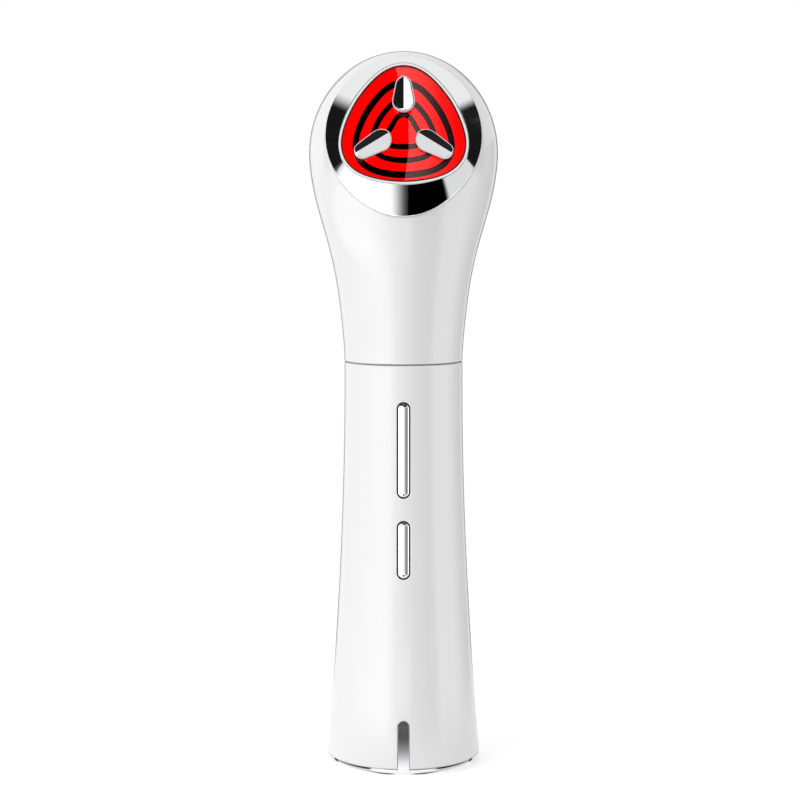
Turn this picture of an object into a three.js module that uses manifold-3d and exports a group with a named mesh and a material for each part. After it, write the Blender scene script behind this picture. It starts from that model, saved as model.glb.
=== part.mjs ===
// Facial toning wand
// Millimetres, +Z up, origin at the centre of the flat underside, face and keys towards -Y.

import * as THREE from "three";
import { mergeVertices } from "three/addons/utils/BufferGeometryUtils.js";
import Module from "manifold-3d";

const wasm = await Module();
wasm.setup();

// Body
const totalHeight = 152;
const headWidth = 40;
const domeHeight = 21.5;
const seamHeight = 86.5;
const seamGap = 0.3;
const waistRadius = 12.6;
const waistDrop = 3.5;
const footRadius = 16.7;
const flarePower = 1.9;
const wall = 1.6;
const bodySegments = 40;
const gripSteps = 8;
const swellSteps = 10;
const domeSteps = 7;
const cavitySteps = 5;
const reachSteps = 40;
const smallSegments = 12;
const swellShares = [
  [0, 0], [0.15, 0.055], [0.37, 0.214], [0.586, 0.497], [0.76, 0.79], [0.9, 0.955], [1, 1],
];
const frontShares = [
  [0, 1], [0.27, 0.985], [0.47, 0.95], [0.63, 1.02], [0.73, 1.01], [0.85, 0.93], [1, 0.79],
];
const backShares = [[0, 1], [0.4, 0.93], [0.72, 0.86], [1, 0.86]];

// Clearances
const gap = 0.3;
const trimGap = 0.15;
const edgeGap = 0.08;
const overrun = 5;

// Face: a plane tilted back from the vertical, centred on the lens
const faceTilt = THREE.MathUtils.degToRad(18);
const faceDrop = 17.4;
const faceDepthShare = 0.2775;
const faceSegments = 48;

// Bezel, gasket and lens
const bezelEdgeHeight = 0.7;
const bezelEdgeStep = 0.1;
const bezelCornerBand = 2.35;
const bezelCrest = 0.15;
const lipWidth = 1.2;
const lipThickness = 0.5;
const gasketWidth = 0.55;
const gasketFlange = 0.3;
const gasketReach = 0.5;
const lensRise = 2.6;
const lensThickness = 1.2;
const lensEdgeRound = 0.15;
const lensLobeShare = 0.0907;
const lensCornerShare = 0.0106;

// Black rings and red plate under the lens
const baffleDepth = 2.9;
const baffleHeight = 0.5;
const baffleWidth = 1.05;
const baffleStretchShare = 1.07;
const outerBaffleShare = 0.783;
const middleBaffleShare = 0.52;
const innerBaffleShare = 0.287;
const innerBaffleLobeShare = 0.16;
const baffleSegments = 36;
const diffuserInset = 0.8;
const diffuserThickness = 1;

// Contact bars
const barLength = 7.85;
const barInnerRadius = 2.2;
const barOuterRadius = 1.6;
const barSkirt = 0.55;
const barRidge = 1.5;
const barEdgeMargin = 3.05;
const tabWidth = 2.2;
const tabThickness = 1.2;

// Light board and its frame
const frameWall = 1;
const frameLedge = 1.2;
const frameFoot = 1.3;
const lightGap = 4.2;
const boardThickness = 1;
const ledSize = 2.8;
const ledHeight = 0.8;
const ledRingShare = 0.58;
const ledRingStaggerShare = 0.14;
const earRadius = 2.1;
const earThickness = 1.2;
const bossDepth = 5.5;
const screwHeadRadius = 1.6;
const screwHeadHeight = 0.9;
const screwRadius = 0.8;
const screwLength = 4.5;

// Neck joint
const spigotDepth = 5;
const spigotWall = 1.4;
const lipRingWidth = 0.8;
const rebateDepth = 1.2;

// Keys and their switches
const keySlotWidth = 2.84;
const longSlotLength = 20.3;
const shortSlotLength = 12.4;
const longSlotDrop = 7.7;
const slotSpacing = 4.65;
const keyGap = 0.27;
const keyProud = 0.15;
const keyCrown = 0.8;
const keyFlangeLap = 0.7;
const keyFlangeThickness = 0.9;
const keyArcSteps = 6;
const keyCrownSteps = 3;
const stemRadius = 0.9;
const stemReach = 1.2;
const stemEngage = 0.5;
const keyTravel = 0.5;
const switchSize = 4.2;
const switchHeight = 1.5;

// Main board, chassis and cell
const plateThickness = 1.2;
const plateSideClearance = 0.8;
const boardSideClearance = 1.8;
const tailHalfWidth = 5.2;
const tailHeight = 6;
const discThickness = 1.5;
const cellRadius = 5.2;
const cellLength = 44;
const cellCapRadius = 3;
const cellCapHeight = 0.6;
const saddleWall = 1.2;
const saddleWidth = 2.4;
const saddleCount = 3;
const saddleOpeningShare = 0.35;
const stopHeight = 1.2;
const boardBossRadius = 2;
const boardBossLength = 3.4;
const boardScrewOffset = 4.6;
const boardScrewDrop = 5.6;
const boardScrewSpacing = 18.5;
const leadRadius = 0.5;
const leadOffset = 1.6;
const leadRise = 9;
const leadBend = 5;
const leadSteps = 8;
const leadSides = 8;
const leadWindowMargin = 1.2;
const cableWidth = 5;
const cableThickness = 0.4;
const cableLeave = 12;
const cableArrive = 26;
const cableSteps = 16;
const cableDrop = 3;
const cableSocketSize = [7, 1.6, 2.4];
const chipSize = [7, 0.9, 7];
const transformerSize = [7.2, 3.4, 6.6];
const coreStep = 1.1;
const capacitorRadius = 1.6;
const capacitorLength = 7;
const chipShare = 0.4;
const transformerShare = 0.27;
const capacitorShare = 0.15;

// Foot
const footLift = 1.5;
const footEdgeRound = 0.6;
const capInset = 1.5;
const capThickness = 1.2;
const capEdgeRound = 0.5;
const capRoundSteps = 3;
const footSlotWidth = 2.65;
const footSlotTop = 11.8;
const tongueRecess = 0.9;
const tongueThickness = 0.9;
const tongueSideGap = 0.1;
const plugHeight = 4.4;
const snapPostRadius = 1.2;
const snapPostHeight = 3;
const snapPostOffset = [5.5, 7.5];
const footBossRadius = 2.2;
const footScrewRim = 0.64;
const footBossLength = 9;
const footScrewLength = 9.5;
const footScrewHeadRadius = 1.9;
const footScrewSeat = 2.4;
const portWidth = 9;
const portHeight = 3.2;
const portLength = 7.5;
const portWall = 0.32;
const portDepth = 6;
const portMouthMargin = 0.3;
const portTongueSize = [6.6, 0.7, 5];

// Materials
function finish(color, roughness, metalness) {
  return new THREE.MeshStandardMaterial({ color, roughness, metalness });
}
const whiteGloss = finish(0xf2f2f2, 0.2, 0);
const chrome = finish(0xd8dadd, 0.08, 1);
const whiteRubber = finish(0xfafafa, 0.5, 0);
const clearRed = finish(0xff1a0c, 0.05, 0);
const redPlate = finish(0xe3140a, 0.4, 0);
const blackPlastic = finish(0x101010, 0.5, 0);
const greyRubber = finish(0x8d9094, 0.7, 0);
const boardGreen = finish(0x1f6b3a, 0.5, 0);
const steel = finish(0xb9bcc0, 0.3, 1);
const whitePlastic = finish(0xe6e6e2, 0.5, 0);
const ledWhite = finish(0xf4efe0, 0.4, 0);
const cellSleeve = finish(0x2f6fb5, 0.4, 0);
const redWire = finish(0xb81818, 0.5, 0);
const blackWire = finish(0x161616, 0.5, 0);
const ferrite = finish(0x3a3b3d, 0.6, 0);
const capacitorSleeve = finish(0x24303f, 0.4, 0);

// Geometry helpers

// Smooth curve through [share, value] pairs, level at both ends
function smoothThrough(pairs) {
  const slopes = pairs.map((pair, index) => {
    const before = pairs[index - 1];
    const after = pairs[index + 1];
    return before && after ? (after[1] - before[1]) / (after[0] - before[0]) : 0;
  });
  return (share) => {
    const next = pairs.findIndex((pair, index) => index > 0 && share <= pair[0]);
    const end = next < 0 ? pairs.length - 1 : next;
    const start = end - 1;
    const span = pairs[end][0] - pairs[start][0];
    const t = THREE.MathUtils.clamp((share - pairs[start][0]) / span, 0, 1);
    const blend = t * t * (3 - 2 * t);
    const bendIn = t * (1 - t) * (1 - t) * span * slopes[start];
    const bendOut = t * t * (1 - t) * span * slopes[end];
    return pairs[start][1] * (1 - blend) + pairs[end][1] * blend + bendIn - bendOut;
  };
}

// Turns the faces outwards where the signed volume says that they point in
function facingOut(geometry) {
  const place = geometry.getAttribute("position");
  const index = Array.from(geometry.getIndex().array);
  const corner = [0, 1, 2].map(() => new THREE.Vector3());
  let volume = 0;
  for (let i = 0; i < index.length; i += 3) {
    corner.forEach((point, k) => point.fromBufferAttribute(place, index[i + k]));
    volume += corner[0].dot(corner[1].clone().cross(corner[2]));
  }
  if (volume < 0) index.reverse();
  geometry.setIndex(index);
  return geometry;
}

function meshGeometry(points, index) {
  const geometry = new THREE.BufferGeometry();
  const flat = points.flatMap((point) => [point.x, point.y, point.z]);
  geometry.setAttribute("position", new THREE.Float32BufferAttribute(flat, 3));
  geometry.setIndex(index);
  return facingOut(geometry);
}

function centreOf(ring) {
  const sum = ring.reduce((total, point) => total.add(point), new THREE.Vector3());
  return sum.divideScalar(ring.length);
}

// Closed solid through a stack of rings, with a point closing each end
function loft(rings, firstPoint = centreOf(rings[0]), lastPoint = centreOf(rings[rings.length - 1])) {
  const count = rings[0].length;
  const points = [...rings.flat(), firstPoint, lastPoint];
  const first = points.length - 2;
  const last = points.length - 1;
  const top = (rings.length - 1) * count;
  const index = [];
  for (let i = 0; i < count; i += 1) {
    const next = (i + 1) % count;
    index.push(first, next, i, last, top + i, top + next);
    for (let base = 0; base < top; base += count) {
      index.push(base + i, base + next, base + count + i);
      index.push(base + next, base + count + next, base + count + i);
    }
  }
  return meshGeometry(points, index);
}

// Closed ring swept through sections that each hold the same closed polygon
function sweepRing(sections) {
  const count = sections[0].length;
  const index = [];
  sections.forEach((section, s) => {
    const here = s * count;
    const there = ((s + 1) % sections.length) * count;
    section.forEach((point, i) => {
      const next = (i + 1) % count;
      index.push(here + i, here + next, there + i);
      index.push(here + next, there + next, there + i);
    });
  });
  return meshGeometry(sections.flat(), index);
}

// Solid of revolution about Z, from [radius, height] pairs that close on themselves or on the axis
function revolve(profile, segments = bodySegments) {
  const points = profile.map(([radius, height]) => new THREE.Vector2(radius, height));
  const geometry = new THREE.LatheGeometry(points, segments);
  geometry.rotateX(Math.PI / 2);
  return facingOut(weld(geometry));
}

function weld(geometry) {
  geometry.deleteAttribute("normal");
  geometry.deleteAttribute("uv");
  return mergeVertices(geometry);
}

function cylinder(radius, bottom, top, segments = smallSegments) {
  return revolve([[0, bottom], [radius, bottom], [radius, top], [0, top]], segments);
}

function box(low, high) {
  const size = high.map((value, axis) => value - low[axis]);
  const geometry = new THREE.BoxGeometry(...size);
  geometry.translate(...low.map((value, axis) => value + size[axis] / 2));
  return weld(geometry);
}

// Block on the front of the board, from its centre across and up, its size and its rear depth
function boardBlock(across, up, size, rearDepth) {
  const low = [across - size[0] / 2, -rearDepth - size[1], up - size[2] / 2];
  const high = [across + size[0] / 2, -rearDepth, up + size[2] / 2];
  return box(low, high);
}

function extrudeUp(outline, bottom, top) {
  const shape = new THREE.Shape(outline);
  const geometry = new THREE.ExtrudeGeometry(shape, { depth: top - bottom, bevelEnabled: false });
  geometry.translate(0, 0, bottom);
  return weld(geometry);
}

// Stands a solid drawn in X and Y up in X and Z, its height running towards the front
function standUp(geometry) {
  return geometry.rotateX(Math.PI / 2);
}

// Outline of a slot, a bar with two round ends, standing along Y about its centre
function slotOutline(halfWidth, halfLength, centre = 0, steps = keyArcSteps) {
  const points = [];
  for (const side of [1, -1]) {
    for (let i = 0; i <= steps; i += 1) {
      const angle = (side > 0 ? 0 : Math.PI) + (Math.PI * i) / steps;
      const x = halfWidth * Math.cos(angle);
      const y = centre + side * (halfLength - halfWidth) + halfWidth * Math.sin(angle);
      points.push(new THREE.Vector2(x, y));
    }
  }
  return points;
}

function solid(geometry) {
  const place = geometry.getAttribute("position");
  const index = geometry.getIndex();
  const vertProperties = Float32Array.from(place.array);
  const triVerts = Uint32Array.from(index.array);
  return new wasm.Manifold(new wasm.Mesh({ numProp: 3, vertProperties, triVerts }));
}

function geometryOf(body) {
  const mesh = body.getMesh();
  const geometry = new THREE.BufferGeometry();
  geometry.setAttribute("position", new THREE.Float32BufferAttribute(mesh.vertProperties, 3));
  geometry.setIndex(Array.from(mesh.triVerts));
  return geometry;
}

// Joins the added pieces to a body, then cuts the others away
function combine(base, added, removed) {
  let body = solid(base);
  added.forEach((geometry) => {
    body = body.add(solid(geometry));
  });
  removed.forEach((geometry) => {
    body = body.subtract(solid(geometry));
  });
  return geometryOf(body);
}

function common(first, second) {
  return geometryOf(solid(first).intersect(solid(second)));
}

const bothSides = [-1, 1];
const wand = new THREE.Group();

function addPiece(name, geometry, material, parent = wand) {
  const mesh = new THREE.Mesh(geometry, material);
  mesh.name = name;
  parent.add(mesh);
}

// Body shape

const waistHeight = seamHeight - waistDrop;
const widestHeight = totalHeight - domeHeight;
const swell = smoothThrough(swellShares);
const frontDepthShare = smoothThrough(frontShares);
const backDepthShare = smoothThrough(backShares);

function gripRadius(height) {
  const drop = Math.max(0, 1 - height / waistHeight);
  return waistRadius + (footRadius - waistRadius) * drop ** flarePower;
}

function headHalfWidth(height, inset) {
  const halfWidth = headWidth / 2;
  if (height <= widestHeight) {
    const climb = (height - seamHeight) / (widestHeight - seamHeight);
    return waistRadius + (halfWidth - waistRadius) * swell(climb) - inset;
  }
  const climb = (height - widestHeight) / (domeHeight - inset);
  return (halfWidth - inset) * Math.sqrt(Math.max(0, 1 - climb * climb));
}

function headDepthShare(height, towardsFront) {
  const climb = (height - seamHeight) / (totalHeight - seamHeight);
  return towardsFront ? frontDepthShare(climb) : backDepthShare(climb);
}

function headRing(height, inset) {
  return Array.from({ length: bodySegments }, (unused, i) => {
    const angle = (2 * Math.PI * i) / bodySegments;
    const halfWidth = headHalfWidth(height, inset);
    const depth = halfWidth * headDepthShare(height, Math.sin(angle) < 0);
    return new THREE.Vector3(halfWidth * Math.cos(angle), depth * Math.sin(angle), height);
  });
}

// Solid of the head between a height and the crown, at a distance inside the outer surface
function headForm(bottom, inset, risingRings, domeRings) {
  const rings = [];
  for (let i = 0; i < risingRings; i += 1) {
    rings.push(headRing(THREE.MathUtils.lerp(bottom, widestHeight, i / risingRings), inset));
  }
  for (let i = 0; i < domeRings; i += 1) {
    const climb = Math.sin((Math.PI / 2) * (i / domeRings));
    rings.push(headRing(widestHeight + (domeHeight - inset) * climb, inset));
  }
  return loft(rings, undefined, new THREE.Vector3(0, 0, totalHeight - inset));
}

// Face frame: X across, Y up the tilted face, Z out of it, with its origin under the lens's centre

const faceFrame = new THREE.Matrix4().makeRotationX(Math.PI / 2 - faceTilt);
faceFrame.setPosition(0, -headWidth * faceDepthShare, totalHeight - faceDrop);
const face = new THREE.Group();
face.applyMatrix4(faceFrame);
wand.add(face);

function onFace(geometry) {
  return geometry.clone().applyMatrix4(faceFrame);
}

// Distance from the face's centre to the head's outer surface, along the face plane
function faceReach(angle) {
  let near = 0;
  let far = headWidth;
  const point = new THREE.Vector3();
  for (let i = 0; i < reachSteps; i += 1) {
    const reach = (near + far) / 2;
    point.set(reach * Math.cos(angle), reach * Math.sin(angle), 0).applyMatrix4(faceFrame);
    const halfWidth = headHalfWidth(point.z, 0);
    const depth = halfWidth * headDepthShare(point.z, point.y < 0);
    const inside = Math.hypot(point.x / halfWidth, point.y / depth) < 1;
    near = inside ? reach : near;
    far = inside ? far : reach;
  }
  return near;
}

const cornerAngles = [Math.PI / 2, Math.PI * (7 / 6), Math.PI * (11 / 6)];
const sideAngles = [Math.PI / 6, Math.PI * (5 / 6), Math.PI * (3 / 2)];

// Rounded triangle with a corner at the top, as a radius at an angle
function lobedRadius(angle, meanRadius, lobeShare, cornerShare) {
  const turn = 3 * (angle - Math.PI / 2);
  return meanRadius * (1 + lobeShare * Math.cos(turn) + cornerShare * Math.cos(2 * turn));
}

const cornerReach = Math.min(...cornerAngles.map(faceReach)) - bezelCornerBand - gasketWidth;
const lensRadius = cornerReach / (1 + lensLobeShare + lensCornerShare);

function lensReach(angle) {
  return lobedRadius(angle, lensRadius, lensLobeShare, lensCornerShare);
}

const midSideReach = lensReach(sideAngles[0]);

function facePoint(angle, reach, level, stretch = 1) {
  return new THREE.Vector3(reach * Math.cos(angle), stretch * reach * Math.sin(angle), level);
}

function lensRing(inset, level) {
  return Array.from({ length: faceSegments }, (unused, i) => {
    const angle = (2 * Math.PI * i) / faceSegments;
    return facePoint(angle, lensReach(angle) - inset, level);
  });
}

// Ring that follows the lens's outline, from [inset, level] pairs
function lensBand(section) {
  return sweepRing(
    Array.from({ length: faceSegments }, (unused, i) => {
      const angle = (2 * Math.PI * i) / faceSegments;
      return section.map(([inset, level]) => facePoint(angle, lensReach(angle) - inset, level));
    }),
  );
}

// Levels on the face, measured out from the face plane

const lensBottom = lensRise - lensThickness;
const gasketFlangeTop = lensBottom - trimGap;
const gasketFlangeBottom = gasketFlangeTop - gasketFlange;
const lipTop = gasketFlangeBottom - trimGap;
const lipBottom = lipTop - lipThickness;
const baffleTop = lensRise - baffleDepth;
const baffleBottom = baffleTop - baffleHeight;
const diffuserTop = baffleBottom - trimGap;
const diffuserBottom = diffuserTop - diffuserThickness;
const frameTop = diffuserBottom - trimGap;
const lightBoardTop = diffuserBottom - lightGap;
const lightBoardBottom = lightBoardTop - boardThickness;
const frameLedgeTop = lightBoardBottom - trimGap;
const frameBottom = frameLedgeTop - frameFoot;
const earTop = frameTop;
const earBottom = earTop - earThickness;
const bossTop = earBottom - trimGap;
const barBottom = lensRise + trimGap;

// Contact bar, pointing outwards along X from the face's centre

const barCentre = cornerReach - barEdgeMargin - barLength / 2;

// Reach of a black ring at one of its corners
function baffleCornerReach(angle, share, lobeShare) {
  const reach = lobedRadius(angle, lensRadius * share, lobeShare, lensCornerShare);
  return reach * Math.hypot(Math.cos(angle), baffleStretchShare * Math.sin(angle));
}

// A bar's tab passes midway between the inner and the middle ring
function tabCentre(angle) {
  const innerEdge = baffleCornerReach(angle, innerBaffleShare, innerBaffleLobeShare);
  const outerEdge = baffleCornerReach(angle, middleBaffleShare, lensLobeShare) - baffleWidth;
  return (innerEdge + outerEdge) / 2;
}

function barOutline() {
  const innerCentre = barCentre - barLength / 2 + barInnerRadius;
  const outerCentre = barCentre + barLength / 2 - barOuterRadius;
  const lean = Math.asin((barInnerRadius - barOuterRadius) / (outerCentre - innerCentre));
  const halfArc = Math.PI / 2;
  const points = [];
  for (let i = 0; i <= keyArcSteps; i += 1) {
    const angle = THREE.MathUtils.lerp(lean - halfArc, halfArc - lean, i / keyArcSteps);
    const x = outerCentre + barOuterRadius * Math.cos(angle);
    points.push(new THREE.Vector2(x, barOuterRadius * Math.sin(angle)));
  }
  for (let i = 0; i <= keyArcSteps; i += 1) {
    const angle = THREE.MathUtils.lerp(halfArc - lean, 3 * halfArc + lean, i / keyArcSteps);
    const x = innerCentre + barInnerRadius * Math.cos(angle);
    points.push(new THREE.Vector2(x, barInnerRadius * Math.sin(angle)));
  }
  return points;
}

function contactBar(angle) {
  const low = barBottom;
  const ridge = low + barSkirt + barRidge;
  const eave = low + barSkirt;
  const gableHalf = barInnerRadius;
  const gable = new THREE.Shape([
    new THREE.Vector2(-gableHalf, low),
    new THREE.Vector2(gableHalf, low),
    new THREE.Vector2(gableHalf, eave),
    new THREE.Vector2(0, ridge),
    new THREE.Vector2(-gableHalf, eave),
  ]);
  const roof = new THREE.ExtrudeGeometry(gable, { depth: 2 * barLength, bevelEnabled: false });
  roof.translate(0, 0, barCentre - barLength);
  roof.rotateX(Math.PI / 2);
  roof.rotateZ(Math.PI / 2);
  const blade = common(extrudeUp(barOutline(), low, ridge), weld(roof));
  const tab = tabBlock(angle, 0, lightBoardTop + trimGap, eave);
  return combine(blade, [tab], []).rotateZ(angle);
}

function tabBlock(angle, clearance, bottom, top) {
  const halfThickness = tabThickness / 2 + clearance;
  const halfWidth = tabWidth / 2 + clearance;
  const centre = tabCentre(angle);
  return box([centre - halfThickness, -halfWidth, bottom], [centre + halfThickness, halfWidth, top]);
}

function tabHoles(bottom, top) {
  return cornerAngles.map((angle) => tabBlock(angle, gap, bottom - overrun, top + overrun).rotateZ(angle));
}

// Screw with its head up, seated at a level
function screw(radius, length, headRadius, headHeight) {
  const profile = [[0, -length], [radius, -length], [radius, 0], [headRadius, 0], [headRadius, headHeight]];
  return revolve([...profile, [0, headHeight]], smallSegments);
}

// Face pieces

function buildFace() {
  const sections = Array.from({ length: faceSegments }, (unused, i) => {
    const angle = (2 * Math.PI * i) / faceSegments;
    const outer = faceReach(angle) - bezelEdgeStep;
    const inner = lensReach(angle) + gasketWidth;
    const crest = lensRise + bezelCrest;
    const corners = [[outer, lipBottom], [outer, bezelEdgeHeight], [inner, crest]];
    corners.push([inner, lipTop], [inner - lipWidth, lipTop], [inner - lipWidth, lipBottom]);
    return corners.map(([reach, level]) => facePoint(angle, reach, level));
  });
  addPiece("face_bezel", sweepRing(sections), chrome, face);

  const gasketOuter = edgeGap - gasketWidth;
  const gasketSection = [
    [gasketOuter, lensRise], [gasketOuter, gasketFlangeBottom], [gasketReach, gasketFlangeBottom],
    [gasketReach, gasketFlangeTop], [-edgeGap, gasketFlangeTop], [-edgeGap, lensRise],
  ];
  addPiece("lens_gasket", lensBand(gasketSection), whiteRubber, face);

  const lensRings = [
    lensRing(0, lensBottom), lensRing(0, lensRise - lensEdgeRound), lensRing(lensEdgeRound, lensRise),
  ];
  const lens = combine(loft(lensRings), [], tabHoles(lensBottom, lensRise));
  addPiece("window_lens", lens, clearRed, face);

  addPiece("outer_baffle", baffle(outerBaffleShare, lensLobeShare), blackPlastic, face);
  addPiece("middle_baffle", baffle(middleBaffleShare, lensLobeShare), blackPlastic, face);
  addPiece("inner_baffle", baffle(innerBaffleShare, innerBaffleLobeShare), blackPlastic, face);

  const plate = loft([lensRing(diffuserInset, diffuserBottom), lensRing(diffuserInset, diffuserTop)]);
  addPiece("diffuser_plate", combine(plate, [], tabHoles(diffuserBottom, diffuserTop)), redPlate, face);

  const barNames = ["electrode_top", "electrode_left", "electrode_right"];
  barNames.forEach((name, i) => addPiece(name, contactBar(cornerAngles[i]), chrome, face));
}

function baffle(share, lobeShare) {
  const meanRadius = lensRadius * share;
  const sections = Array.from({ length: baffleSegments }, (unused, i) => {
    const angle = (2 * Math.PI * i) / baffleSegments;
    const outer = lobedRadius(angle, meanRadius, lobeShare, lensCornerShare);
    const inner = outer - baffleWidth;
    const corners = [[outer, baffleBottom], [outer, baffleTop], [inner, baffleTop], [inner, baffleBottom]];
    return corners.map(([reach, level]) => facePoint(angle, reach, level, baffleStretchShare));
  });
  return sweepRing(sections);
}

// Light board, its LEDs, and the frame that carries them

const frameOuterInset = diffuserInset;
const frameInnerInset = frameOuterInset + frameWall;
const earCentre = midSideReach - frameOuterInset + gap + earRadius;

function earShape(radius, bottom, top) {
  const frameSide = midSideReach - frameOuterInset - frameWall / 2;
  const post = cylinder(radius, bottom, top).translate(earCentre, 0, 0);
  return combine(post, [box([frameSide, -radius, bottom], [earCentre, radius, top])], []);
}

function buildLightModule() {
  const frameSection = [
    [frameOuterInset, frameTop], [frameInnerInset, frameTop], [frameInnerInset, frameLedgeTop],
    [frameInnerInset + frameLedge, frameLedgeTop], [frameInnerInset + frameLedge, frameBottom],
    [frameOuterInset, frameBottom],
  ];
  const ears = sideAngles.map((angle) => earShape(earRadius, earBottom, earTop).rotateZ(angle));
  const holes = sideAngles.map((angle) => {
    const hole = cylinder(screwRadius + gap, earBottom - gap, earTop + gap);
    return hole.translate(earCentre, 0, 0).rotateZ(angle);
  });
  addPiece("module_frame", combine(lensBand(frameSection), ears, holes), whitePlastic, face);

  sideAngles.forEach((angle, i) => {
    const geometry = screw(screwRadius, screwLength, screwHeadRadius, screwHeadHeight);
    geometry.translate(earCentre, 0, earTop + trimGap).rotateZ(angle);
    addPiece(`module_screw_${i + 1}`, geometry, steel, face);
  });

  const boardInset = frameInnerInset + gap;
  const board = loft([lensRing(boardInset, lightBoardBottom), lensRing(boardInset, lightBoardTop)]);
  addPiece("led_board", board, boardGreen, face);

  const ledAngles = [...cornerAngles, ...sideAngles];
  ledAngles.forEach((angle, i) => {
    const stagger = i < cornerAngles.length ? ledRingStaggerShare : -ledRingStaggerShare;
    const reach = lensRadius * (ledRingShare + stagger);
    const bottom = lightBoardTop + trimGap;
    const low = [reach - ledSize / 2, -ledSize / 2, bottom];
    const high = [reach + ledSize / 2, ledSize / 2, bottom + ledHeight];
    addPiece(`red_led_${i + 1}`, box(low, high).rotateZ(angle), ledWhite, face);
  });
}

// Head housing: the upper shell, cut by the face plane, with its spigot, screw bosses and ear pockets

const headBottom = seamHeight + seamGap / 2;
const gripTop = seamHeight - seamGap / 2;
const boreRadius = waistRadius - wall;
const spigotRadius = boreRadius - gap;
const spigotBottom = seamHeight - spigotDepth;

function buildHeadHousing() {
  const outer = headForm(headBottom, 0, swellSteps, domeSteps);
  const spigotBore = spigotRadius - spigotWall;
  const cavityBottom = headBottom + wall;
  const cavity = headForm(cavityBottom, wall, cavitySteps, domeSteps);
  const spigot = cylinder(spigotRadius, spigotBottom, cavityBottom, bodySegments);
  const bore = cylinder(spigotBore, spigotBottom - overrun, cavityBottom + wall, bodySegments);
  const faceCut = onFace(box([-headWidth, -headWidth, 0], [headWidth, headWidth, headWidth]));
  const form = combine(outer, [spigot], []);
  const shell = combine(form, [], [cavity, bore, faceCut]);

  const bossBottom = bossTop - bossDepth;
  const bosses = sideAngles.map((angle) => {
    const post = cylinder(earRadius, bossBottom, bossTop).translate(earCentre, 0, 0);
    const rib = box([earCentre, -earRadius / 2, bossBottom], [headWidth, earRadius / 2, bossTop]);
    return onFace(combine(post, [rib], []).rotateZ(angle));
  });
  const trimmed = bosses.map((boss) => common(boss, outer));
  const bossHoles = sideAngles.map((angle) => {
    const hole = cylinder(screwRadius + gap, bossTop - screwLength, bossTop + overrun);
    return onFace(hole.translate(earCentre, 0, 0).rotateZ(angle));
  });
  const pockets = sideAngles.map((angle) => {
    return onFace(earShape(earRadius + gap, bossTop, overrun).rotateZ(angle));
  });
  addPiece("head_housing", combine(shell, trimmed, [...bossHoles, ...pockets]), whiteGloss);
}

// Grip housing: the lower shell, with two key slots, the foot slot and two foot bosses

const rebateRadius = waistRadius - lipRingWidth;
const rebateFloor = gripTop - rebateDepth;
const longSlotCentre = seamHeight - longSlotDrop - longSlotLength / 2;
const shortSlotCentre = longSlotCentre - (longSlotLength + shortSlotLength) / 2 - slotSpacing;
const plugBottom = footLift + gap;
const plugTop = plugBottom + plugHeight;
const footDiscBottom = plugTop + gap;
const footDiscTop = footDiscBottom + discThickness;
const footBossBottom = footDiscTop + gap;
const plugRadius = gripRadius(plugTop) - wall - gap;
const footBossOffset = plugRadius - footScrewRim - footScrewHeadRadius - gap;

function frontSlot(halfWidth, halfLength, centre) {
  return standUp(extrudeUp(slotOutline(halfWidth, halfLength, centre), 0, overrun + footRadius));
}

// Outer surface of the grip from its rounded lower edge up, as [radius, height] pairs
function gripOuterProfile() {
  const low = footLift + footEdgeRound;
  const edge = gripRadius(low) - footEdgeRound;
  const corner = [edge + footEdgeRound * Math.SQRT1_2, low - footEdgeRound * Math.SQRT1_2];
  const side = Array.from({ length: gripSteps + 1 }, (unused, i) => {
    const height = THREE.MathUtils.lerp(low, waistHeight, i / gripSteps);
    return [gripRadius(height), height];
  });
  return [[edge, footLift], corner, ...side, [waistRadius, gripTop]];
}

function gripInnerProfile() {
  const side = Array.from({ length: gripSteps + 1 }, (unused, i) => {
    const height = THREE.MathUtils.lerp(waistHeight, footLift, i / gripSteps);
    return [gripRadius(height) - wall, height];
  });
  return [[rebateRadius, gripTop], [rebateRadius, rebateFloor], [boreRadius, rebateFloor], ...side];
}

function buildHandleHousing() {
  const outer = gripOuterProfile();
  const shell = revolve([...outer, ...gripInnerProfile(), outer[0]]);
  const form = revolve([[0, footLift], ...outer, [0, gripTop]]);
  const footBossTop = footBossBottom + footBossLength;
  const bosses = bothSides.map((side) => {
    const post = cylinder(footBossRadius, footBossBottom, footBossTop).translate(side * footBossOffset, 0, 0);
    const ribEnds = [side * footBossOffset, side * footRadius].sort((a, b) => a - b);
    const ribHalf = footBossRadius / 2;
    const rib = box([ribEnds[0], -ribHalf, footBossBottom], [ribEnds[1], ribHalf, footBossTop]);
    return common(combine(post, [rib], []), form);
  });
  const holes = bothSides.map((side) => {
    const hole = cylinder(screwRadius + gap, footBossBottom - overrun, footBossTop - wall);
    return hole.translate(side * footBossOffset, 0, 0);
  });
  const keySlotHalf = keySlotWidth / 2;
  const longSlot = frontSlot(keySlotHalf, longSlotLength / 2, longSlotCentre);
  const shortSlot = frontSlot(keySlotHalf, shortSlotLength / 2, shortSlotCentre);
  const footSlotHalf = footSlotTop / 2 + overrun;
  const footSlot = frontSlot(footSlotWidth / 2, footSlotHalf, footSlotTop - footSlotHalf);
  addPiece("handle_housing", combine(shell, bosses, [longSlot, shortSlot, footSlot, ...holes]), whiteGloss);
}

function buildNeckSeal() {
  const inner = spigotRadius + trimGap;
  const outer = rebateRadius - trimGap;
  const low = rebateFloor + trimGap;
  const high = headBottom - trimGap;
  const profile = [[inner, low], [outer, low], [outer, high], [inner, high], [inner, low]];
  addPiece("neck_seal", revolve(profile), greyRubber);
}

// Keys: depths run from the wand's axis towards the front

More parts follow.
